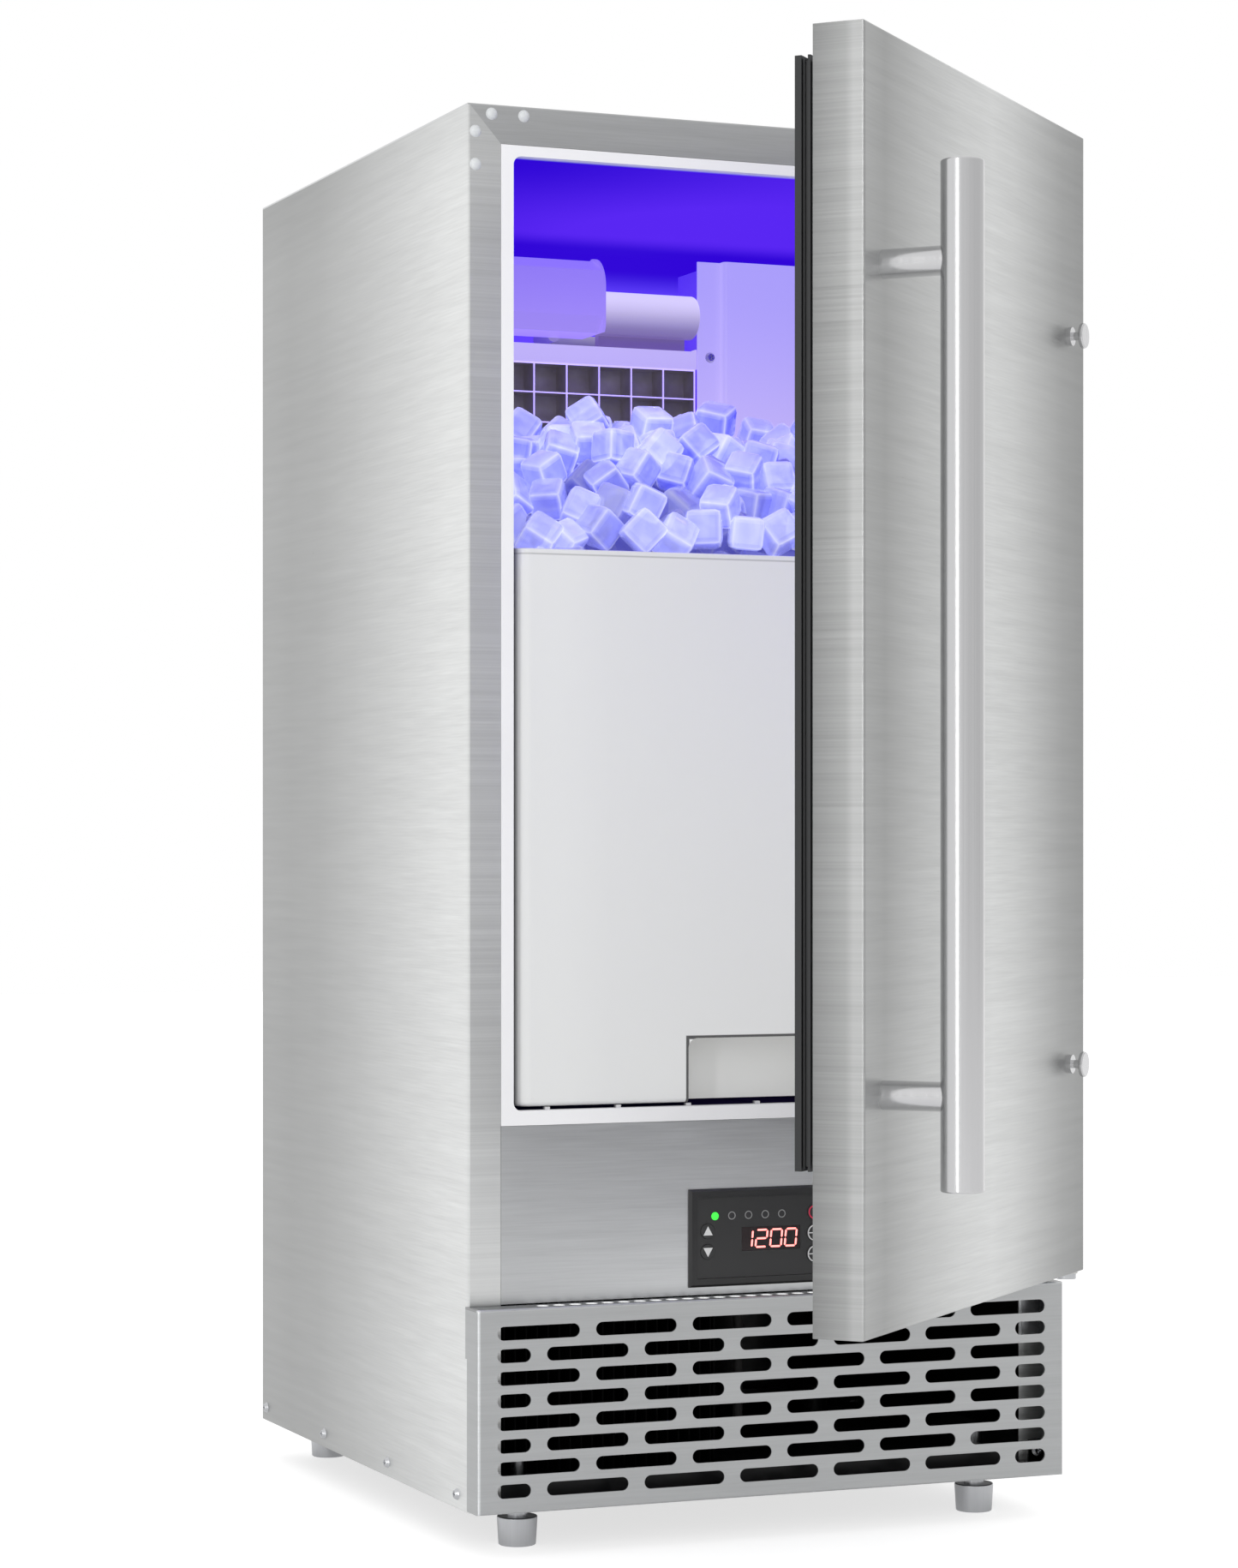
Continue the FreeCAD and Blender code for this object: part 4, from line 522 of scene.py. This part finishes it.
def ice_material():
    material, tree, shader = new_finish("clear_ice")
    where = whereabouts(tree)

    def own(name):
        return wire(tree, "Attribute", {}, attribute_name=name).outputs["Fac"]

    def between(factor, first, second):
        return wire(tree, "Mix", {"Factor": factor, "A": first, "B": second}).outputs["Result"]

    # some cubes froze clearer than others, and each face is painted lighter or darker by how it faces the lamp
    clouding = {"Vector": where, "Scale": 48.0, "Detail": 3.0, "Distortion": 1.2}
    cloud = wire(tree, "TexNoise", clouding).outputs["Fac"]
    tint = ramp(tree, between(0.42, between(0.45, cloud, own("clearness")), own("facing")),
                [(0.30, (0.12, 0.13, 0.72, 1.0)), (0.52, (0.40, 0.43, 0.86, 1.0)),
                 (0.74, (0.80, 0.83, 0.96, 1.0))])
    # lower down the cubes are painted paler, as the light of the room outweighs the lamp's there
    low = fade(tree, places(tree)["Z"], bin_high[2] + 0.060, bin_high[2], 0.0, 0.45)
    paler = mingle(tree, low, tint, (0.70, 0.72, 0.97, 1.0))
    whitened = mingle(tree, maths(tree, "POWER", own("whitening"), 2.6), paler, (0.90, 0.92, 1.0, 1.0))
    # cubes deeper in the heap are painted dark as shadow, so the gaps between the top ones are dark
    colour = mingle(tree, maths(tree, "MULTIPLY", own("sunk"), 0.78), whitened, (0.035, 0.030, 0.36, 1.0))
    ripple = wire(tree, "TexNoise", {"Vector": where, "Scale": 130.0, "Detail": 1.0}).outputs["Fac"]
    bump = wire(tree, "Bump", {"Strength": 0.5, "Distance": 0.0012, "Height": ripple})
    # the ice's own colour glows as well, a painted light for the lamp's light through the cubes
    join(tree, shader, {"Base Color": colour, "Emission Color": colour, "Emission Strength": 0.34,
                        "Normal": bump.outputs["Normal"], "Roughness": 0.08, "IOR": 1.31,
                        "Transmission Weight": 0.45, "Coat Weight": 0.7, "Coat Roughness": 0.04})
    return material


ice = heap_ice()
ice.data.materials.append(ice_material())
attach(ice, "cabinet")

# ---- door seal, inner liner and foam -------------------------------------------
# A black magnetic seal pressed into the white door liner, and cream foam poured between
# the liner and the steel skin, as in the walls of the cabinet.
finish(moulded("black_seal", (0.018, 0.019, 0.020), 0.42, 0.15, 1200.0, 0.10), "door_gasket")
finish(moulded("door_liner_white", (0.80, 0.80, 0.81), 0.35, 0.04), "door_inner_liner")
finish(moulded("cream_foam", (0.82, 0.74, 0.52), 0.85, 0.20, 260.0, 0.5), "door_foam", "foam_insulation")

# ---- handle, studs and posts ----------------------------------------------------
# Stainless tube polished bright, lines too fine to see; the posts are turned and screwed
# on from inside the door, and the same studs stand ready on the hinge side.


def polished_steel(name, colour, roughness, contrast=0.12):
    material, tree, shader = new_finish(name)
    _, lines = lay_lines(tree, (0.0, quarter, 0.0), colour, contrast, roughness)
    join(tree, shader, {"Base Color": lines["Colour"], "Roughness": lines["Roughness"], "Metallic": 1.0})
    return material


finish(polished_steel("polished_handle", (0.69, 0.69, 0.70), 0.20), "handle_bar", "handle_posts", "handle_studs")

# ---- hinges, screws and feet ------------------------------------------------------
# Zinc-plated plates and screws, and turned metal feet on threaded studs. Grey plugs close
# the spare hinge holes, and the door's pins turn in pale plastic bushings.
finish(polished_steel("zinc_plate", (0.62, 0.63, 0.65), 0.32, 0.25), "upper_hinge", "lower_hinge", "body_screws",
       "foot_front_left", "foot_front_right", "foot_rear_left", "foot_rear_right")
finish(moulded("plug_grey", (0.66, 0.68, 0.69), 0.28), "hinge_hole_plugs")
finish(moulded("bushing_plastic", (0.80, 0.80, 0.78), 0.4), "hinge_bushings")

# ---- control panel ---------------------------------------------------------------
# Charcoal moulded bezel with a printed face; the marks below are plain printed shapes.
# The display sits behind a smoked window, and only the first of five lamps is lit.
print_thick = 0.00012
finish(moulded("bezel_charcoal", (0.022, 0.022, 0.023), 0.33, 0.10, 1500.0, 0.05), "control_bezel")
finish(moulded("face_charcoal", (0.030, 0.030, 0.031), 0.40, 0.06, 1500.0, 0.03),
       "control_face", "up_key", "down_key", "power_key", "timer_key", "clean_key")
finish(moulded("display_smoke", (0.020, 0.012, 0.013), 0.18, 0.05), "display_window")
finish(moulded("lamp_smoke", (0.03, 0.03, 0.032), 0.3), "indicator_leds")
finish(glow_painted_plastic("lamp_lens", (0.6, 0.5, 1.0), (0.5, 0.3, 1.0), (0.5, 0.3, 1.0), 0.8, 0.82, 3.0)[0], "led_lamp")


def printed(name, colour, glow=0.0):
    material, tree, shader = new_finish(name)
    speckle = wire(tree, "TexNoise", {"Vector": whereabouts(tree), "Scale": 2500.0}).outputs["Fac"]
    shade = mingle(tree, speckle, (*[part * 0.9 for part in colour], 1.0), (*colour, 1.0))
    join(tree, shader, {"Base Color": shade, "Roughness": 0.5})
    if glow:
        join(tree, shader, {"Emission Color": shade, "Emission Strength": glow})
    return material


print_white = printed("print_white", (0.85, 0.85, 0.85))
print_grey = printed("print_grey", (0.36, 0.36, 0.36))
# the red print gets a faint painted glow
print_red = printed("print_red", (0.62, 0.02, 0.07), 0.3)
lamp_green = printed("lamp_green", (0.05, 0.80, 0.06), 1.0)
digit_red = printed("digit_red", (1.0, 0.24, 0.22), 2.4)


def piece_from(build, name, material, body):
    bmesh.ops.remove_doubles(build, verts=build.verts, dist=1e-7)
    bmesh.ops.recalc_face_normals(build, faces=build.faces)
    mesh = bpy.data.meshes.new(name)
    build.to_mesh(mesh)
    build.free()
    made = bpy.data.objects.new(name, mesh)
    bpy.context.scene.collection.objects.link(made)
    made.data.materials.append(material)
    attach(made, body)


def points_in(made):
    return [part for part in made["geom"] if isinstance(part, bmesh.types.BMVert)]


def flat_ring(build, x, z, face_y, outer, width):
    # a printed ring standing a hair off the face
    before = len(build.verts)
    bmesh.ops.create_circle(build, cap_ends=False, radius=outer, segments=40)
    build.verts.ensure_lookup_table()
    ring = build.verts[before:]
    edges = [edge for edge in build.edges if edge.verts[0] in ring and edge.verts[1] in ring]
    inner = points_in(bmesh.ops.extrude_edge_only(build, edges=edges))
    shrink = (outer - width) / outer
    bmesh.ops.scale(build, vec=(shrink, shrink, 1.0), verts=inner)
    band = [face for face in build.faces if face.verts[0] in ring or face.verts[0] in inner]
    raised = points_in(bmesh.ops.extrude_face_region(build, geom=band))
    bmesh.ops.translate(build, vec=(0, 0, print_thick), verts=raised)
    build.verts.ensure_lookup_table()
    move = Matrix.Translation((x, face_y, z)) @ Matrix.Rotation(quarter, 4, "X")
    bmesh.ops.transform(build, matrix=move, verts=build.verts[before:])


def flat_shape(build, corners, face_y):
    face = build.faces.new([build.verts.new((x, face_y, z)) for x, z in corners])
    raised = points_in(bmesh.ops.extrude_face_region(build, geom=[face]))
    bmesh.ops.translate(build, vec=(0, -print_thick, 0), verts=raised)


def flat_bar(build, left, right, bottom, top, face_y):
    flat_shape(build, [(left, bottom), (right, bottom), (right, top), (left, top)], face_y)


def centre_of(node_name):
    low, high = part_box(node_name)
    return (low[0] + high[0]) / 2, (low[2] + high[2]) / 2, low[1]


arrow_half = 0.0030
for key_name, points in (("up_key", ((-1, -0.8), (1, -0.8), (0, 1.0))),
                         ("down_key", ((-1, 0.8), (0, -1.0), (1, 0.8)))):
    x, z, front_y = centre_of(key_name)
    arrow = bmesh.new()
    flat_shape(arrow, [(x + across * arrow_half, z + up * arrow_half) for across, up in points], front_y)
    piece_from(arrow, key_name + "_arrow", print_white, key_name)

# a ring round each round key, with a stroke for power and two dots and a line for the others
for key_name, colour in (("power_key", print_red), ("timer_key", print_white), ("clean_key", print_white)):
    x, z, front_y = centre_of(key_name)
    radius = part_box(key_name)[1][0] - x - 0.0004
    mark = bmesh.new()
    flat_ring(mark, x, z, front_y, radius, 0.0007)
    if key_name == "power_key":
        flat_bar(mark, x - 0.0004, x + 0.0004, z, z + radius * 0.6, front_y)
    else:
        flat_bar(mark, x - radius * 0.9, x + radius * 0.9, z - 0.0003, z + 0.0003, front_y)
        for up in (0.42, -0.42):
            flat_ring(mark, x + radius * 0.35, z + radius * up, front_y, 0.0009, 0.0006)
    piece_from(mark, key_name + "_mark", colour, key_name)

# five indicator lamps: the first is lit, the others have a grey ring
led_low, led_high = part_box("indicator_leds")
led_radius = (led_high[2] - led_low[2]) / 2
led_pitch = (led_high[0] - led_low[0] - 2 * led_radius) / 4
led_z = (led_low[2] + led_high[2]) / 2
rings = bmesh.new()
for index in range(1, 5):
    flat_ring(rings, led_low[0] + led_radius + index * led_pitch, led_z, led_low[1], led_radius, 0.0005)
piece_from(rings, "indicator_rings", print_grey, "cabinet")
lens = bmesh.new()
lens_depth = 0.0004
bmesh.ops.create_cone(lens, cap_ends=True, segments=32, radius1=led_radius, radius2=led_radius * 0.8,
                      depth=lens_depth)
lens_place = Matrix.Translation((led_low[0] + led_radius, led_low[1] - lens_depth / 2, led_z))
bmesh.ops.transform(lens, matrix=lens_place @ Matrix.Rotation(quarter, 4, "X"), verts=lens.verts)
piece_from(lens, "power_lamp_lit", lamp_green, "cabinet")

# ---- display digits ----------------------------------------------------------------
# Seven-segment digits, each segment a lit bar with pointed ends, leaning like the real ones.
# They stand a hair in front of the smoked window.
digit_height = 0.0101
digit_width = 0.0071
digit_pitch = 0.0096
digit_lean = 0.09
bar_half = 0.00056
bar_gap = 0.0003
segments_lit = {"0": "abcdef", "1": "bc", "2": "abged"}
half_height = digit_height / 2
segment_ends = {
    "a": ((0, digit_height), (digit_width, digit_height)), "g": ((0, half_height), (digit_width, half_height)),
    "d": ((0, 0), (digit_width, 0)), "b": ((digit_width, half_height), (digit_width, digit_height)),
    "c": ((digit_width, 0), (digit_width, half_height)), "e": ((0, 0), (0, half_height)),
    "f": ((0, half_height), (0, digit_height)),
}


def digit_bar(build, start, end, left, bottom, face_y):
    along = Vector(end) - Vector(start)
    length = along.length
    along.normalize()
    across = Vector((-along.y, along.x))
    tip, shoulder = bar_gap, bar_gap + bar_half
    points = []
    for run, side in ((tip, 0.0), (shoulder, bar_half), (length - shoulder, bar_half),
                      (length - tip, 0.0), (length - shoulder, -bar_half), (shoulder, -bar_half)):
        at = Vector(start) + along * run + across * side
        points.append((left + at.x + at.y * digit_lean, bottom + at.y))
    flat_shape(build, points, face_y)


window_low, window_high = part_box("display_window")
digits_left = window_high[0] - 0.0031 - digit_width - 3 * digit_pitch
digits_bottom = (window_low[2] + window_high[2] - digit_height) / 2
digits = bmesh.new()
for place, figure in enumerate("1200"):
    for segment in segments_lit[figure]:
        start, end = segment_ends[segment]
        digit_bar(digits, start, end, digits_left + place * digit_pitch, digits_bottom, window_low[1])
piece_from(digits, "display_digits", digit_red, "cabinet")

# ---- working parts out of sight ------------------------------------------------------
# Galvanised sheet, black enamel, copper tube, moulded housings and hoses. What lies behind the
# grille is painted nearly black as shade, because no light reaches it.


def build_spangle():
    group, given, result = start_group("zinc_spangle", {"Vector": "Vector", "Colour": "Color", "Scale": "Float"},
                                       {"Colour": "Color", "Roughness": "Float"})
    flakes = wire(group, "TexVoronoi", {"Vector": given["Vector"], "Scale": given["Scale"]})
    grey = wire(group, "RGBToBW", {0: flakes.outputs["Color"]}).outputs[0]
    join(group, result, {"Colour": scaled(group, given["Colour"], fade(group, grey, 0.0, 1.0, 0.80, 1.15)),
                         "Roughness": fade(group, grey, 0.0, 1.0, 0.30, 0.50)})
    return group


zinc_spangle = build_spangle()


def metal_sheet(name, colour, scale, metallic, shine=0.5):
    material, tree, shader = new_finish(name)
    given = {"Vector": whereabouts(tree), "Colour": (*colour, 1.0), "Scale": scale}
    spangle = wire(tree, "Group", given, node_tree=zinc_spangle).outputs
    join(tree, shader, {"Base Color": spangle["Colour"], "Roughness": spangle["Roughness"], "Metallic": metallic,
                        "Specular IOR Level": shine})
    return material


finish(metal_sheet("galvanised_sheet", (0.56, 0.58, 0.60), 90.0, 0.85), "rear_panel")
# the pan, divider and shroud are painted near black as shade, and the condenser's black is painted deeper still
finish(metal_sheet("galvanised_in_shade", (0.008, 0.008, 0.009), 90.0, 0.2), "base_pan", "divider_plate", "fan_shroud")
finish(metal_sheet("condenser_black_in_shade", (0.002, 0.002, 0.0022), 200.0, 0.0, 0.05), "condenser")
finish(metal_sheet("black_enamel", (0.020, 0.021, 0.023), 300.0, 0.1), "compressor", "fan_motor")
# the copper lines are painted near black as shade
finish(moulded("copper_in_shade", (0.012, 0.011, 0.011), 0.7, 0.15, 300.0, 0.2), "refrigerant_pipes")
finish(moulded("black_moulding", (0.020, 0.020, 0.021), 0.45, 0.12),
       "fan_blade", "pump_housing", "cord_gland", "compressor_grommets")
finish(moulded("pale_moulding", (0.62, 0.63, 0.66), 0.38, 0.08), "water_tank", "tank_float", "bin_probe",
       "pump_impeller", "water_inlet_valve", "drain_outlet", "water_tubes")
finish(moulded("board_green", (0.02, 0.16, 0.06), 0.45, 0.3, 400.0, 0.2), "control_board")

# ---- studio ------------------------------------------------------------------------------
# A pale floor, soft light all round that is brightest behind on the left, a tall strip light
# on the left, a sheet of light on the right, a broad fill in front and the cavity's own lamp.


def lay_floor():
    build = bmesh.new()
    bmesh.ops.create_grid(build, x_segments=1, y_segments=1, size=8.0)
    mesh = bpy.data.meshes.new("studio_floor")
    build.to_mesh(mesh)
    build.free()
    floor = bpy.data.objects.new("studio_floor", mesh)
    bpy.context.scene.collection.objects.link(floor)
    paint, tree, shader = new_finish("studio_white")
    seen_directly = wire(tree, "LightPath", {}).outputs["Is Camera Ray"]
    join(tree, shader, {"Base Color": (0.55, 0.55, 0.55, 1.0), "Roughness": 0.8,
                        "Emission Color": (1.0, 1.0, 1.0, 1.0),
                        "Emission Strength": maths(tree, "MULTIPLY_ADD", seen_directly, 0.36, 0.34)})
    floor.data.materials.append(paint)


def soft_light(name, place, aim, width, height, power, colour=(1.0, 1.0, 1.0)):
    lamp = bpy.data.lights.new(name, "AREA")
    lamp.shape = "RECTANGLE"
    lamp.size = width
    lamp.size_y = height
    lamp.energy = power
    lamp.color = colour
    holder = bpy.data.objects.new(name, lamp)
    holder.location = place
    holder.rotation_euler = (Vector(aim) - Vector(place)).to_track_quat("-Z", "Y").to_euler()
    holder.visible_camera = False
    bpy.context.scene.collection.objects.link(holder)
    return holder


lay_floor()
strip = soft_light("left_strip", (-1.43, -1.51, 0.75), (-0.05, -0.30, 0.45), 0.12, 1.9, 6.0)
# the strip is there for the door and its handle; on the flat side it would only glare
strip_receives = bpy.data.collections.new("strip_receives")
for piece_name, piece in nodes.items():
    if piece_name not in ("left_side_panel", "top_panel", "rear_panel"):
        strip_receives.objects.link(piece)
strip.light_linking.receiver_collection = strip_receives
soft_light("right_sheet", (1.30, 0.62, 0.70), (0.10, -0.25, 0.45), 0.80, 1.8, 1.2)
fill = soft_light("front_fill", (-0.6, -2.6, 1.5), (0.0, 0.0, 0.45), 1.6, 1.6, 17.0)
fill.visible_glossy = False
cavity_lamp = soft_light("cavity_lamp", (0.0, -0.12, 0.795), (0.0, -0.02, 0.55), 0.20, 0.05, 0.14,
                         (0.30, 0.22, 1.0))
cavity_lamp.visible_glossy = False


def light_surroundings():
    # the room is brighter on one side, and plain white where the camera looks straight at it
    world = bpy.data.worlds.new("studio")
    bpy.context.scene.world = world
    world.use_nodes = True
    tree = world.node_tree
    tree.nodes.clear()
    brightest = Vector((-0.62, 0.52, 0.58)).normalized()
    looking = wire(tree, "TexCoord", {}).outputs["Generated"]
    towards = wire(tree, "VectorMath", {0: looking, 1: brightest}, operation="DOT_PRODUCT").outputs["Value"]
    room = wire(tree, "Background", {"Strength": fade(tree, towards, -1.0, 1.0, 0.72, 1.14)})
    white = wire(tree, "Background", {"Color": (1.0, 1.0, 1.0, 1.0)})
    seen_directly = wire(tree, "LightPath", {}).outputs["Is Camera Ray"]
    choose = wire(tree, "MixShader", {"Fac": seen_directly, 1: room.outputs[0], 2: white.outputs[0]})
    wire(tree, "OutputWorld", {"Surface": choose.outputs[0]})


light_surroundings()
bpy.context.scene.view_settings.view_transform = "Standard"

# ---- camera -----------------------------------------------------------------------------
# A long lens, held level at about half the machine's height and well to the left of it, and
# shifted a little so that upright edges stay upright.
camera_data = bpy.data.cameras.new("camera")
camera_data.sensor_width = 36.0
camera_data.lens = 88.03
camera_data.shift_y = 0.0387
camera_data.clip_end = 60.0
camera = bpy.data.objects.new("camera", camera_data)
camera.location = (-0.958442, -2.280631, 0.410836)
camera.rotation_euler = (quarter, 0.0, math.radians(-22.5201))
bpy.context.scene.collection.objects.link(camera)
bpy.context.scene.camera = camera
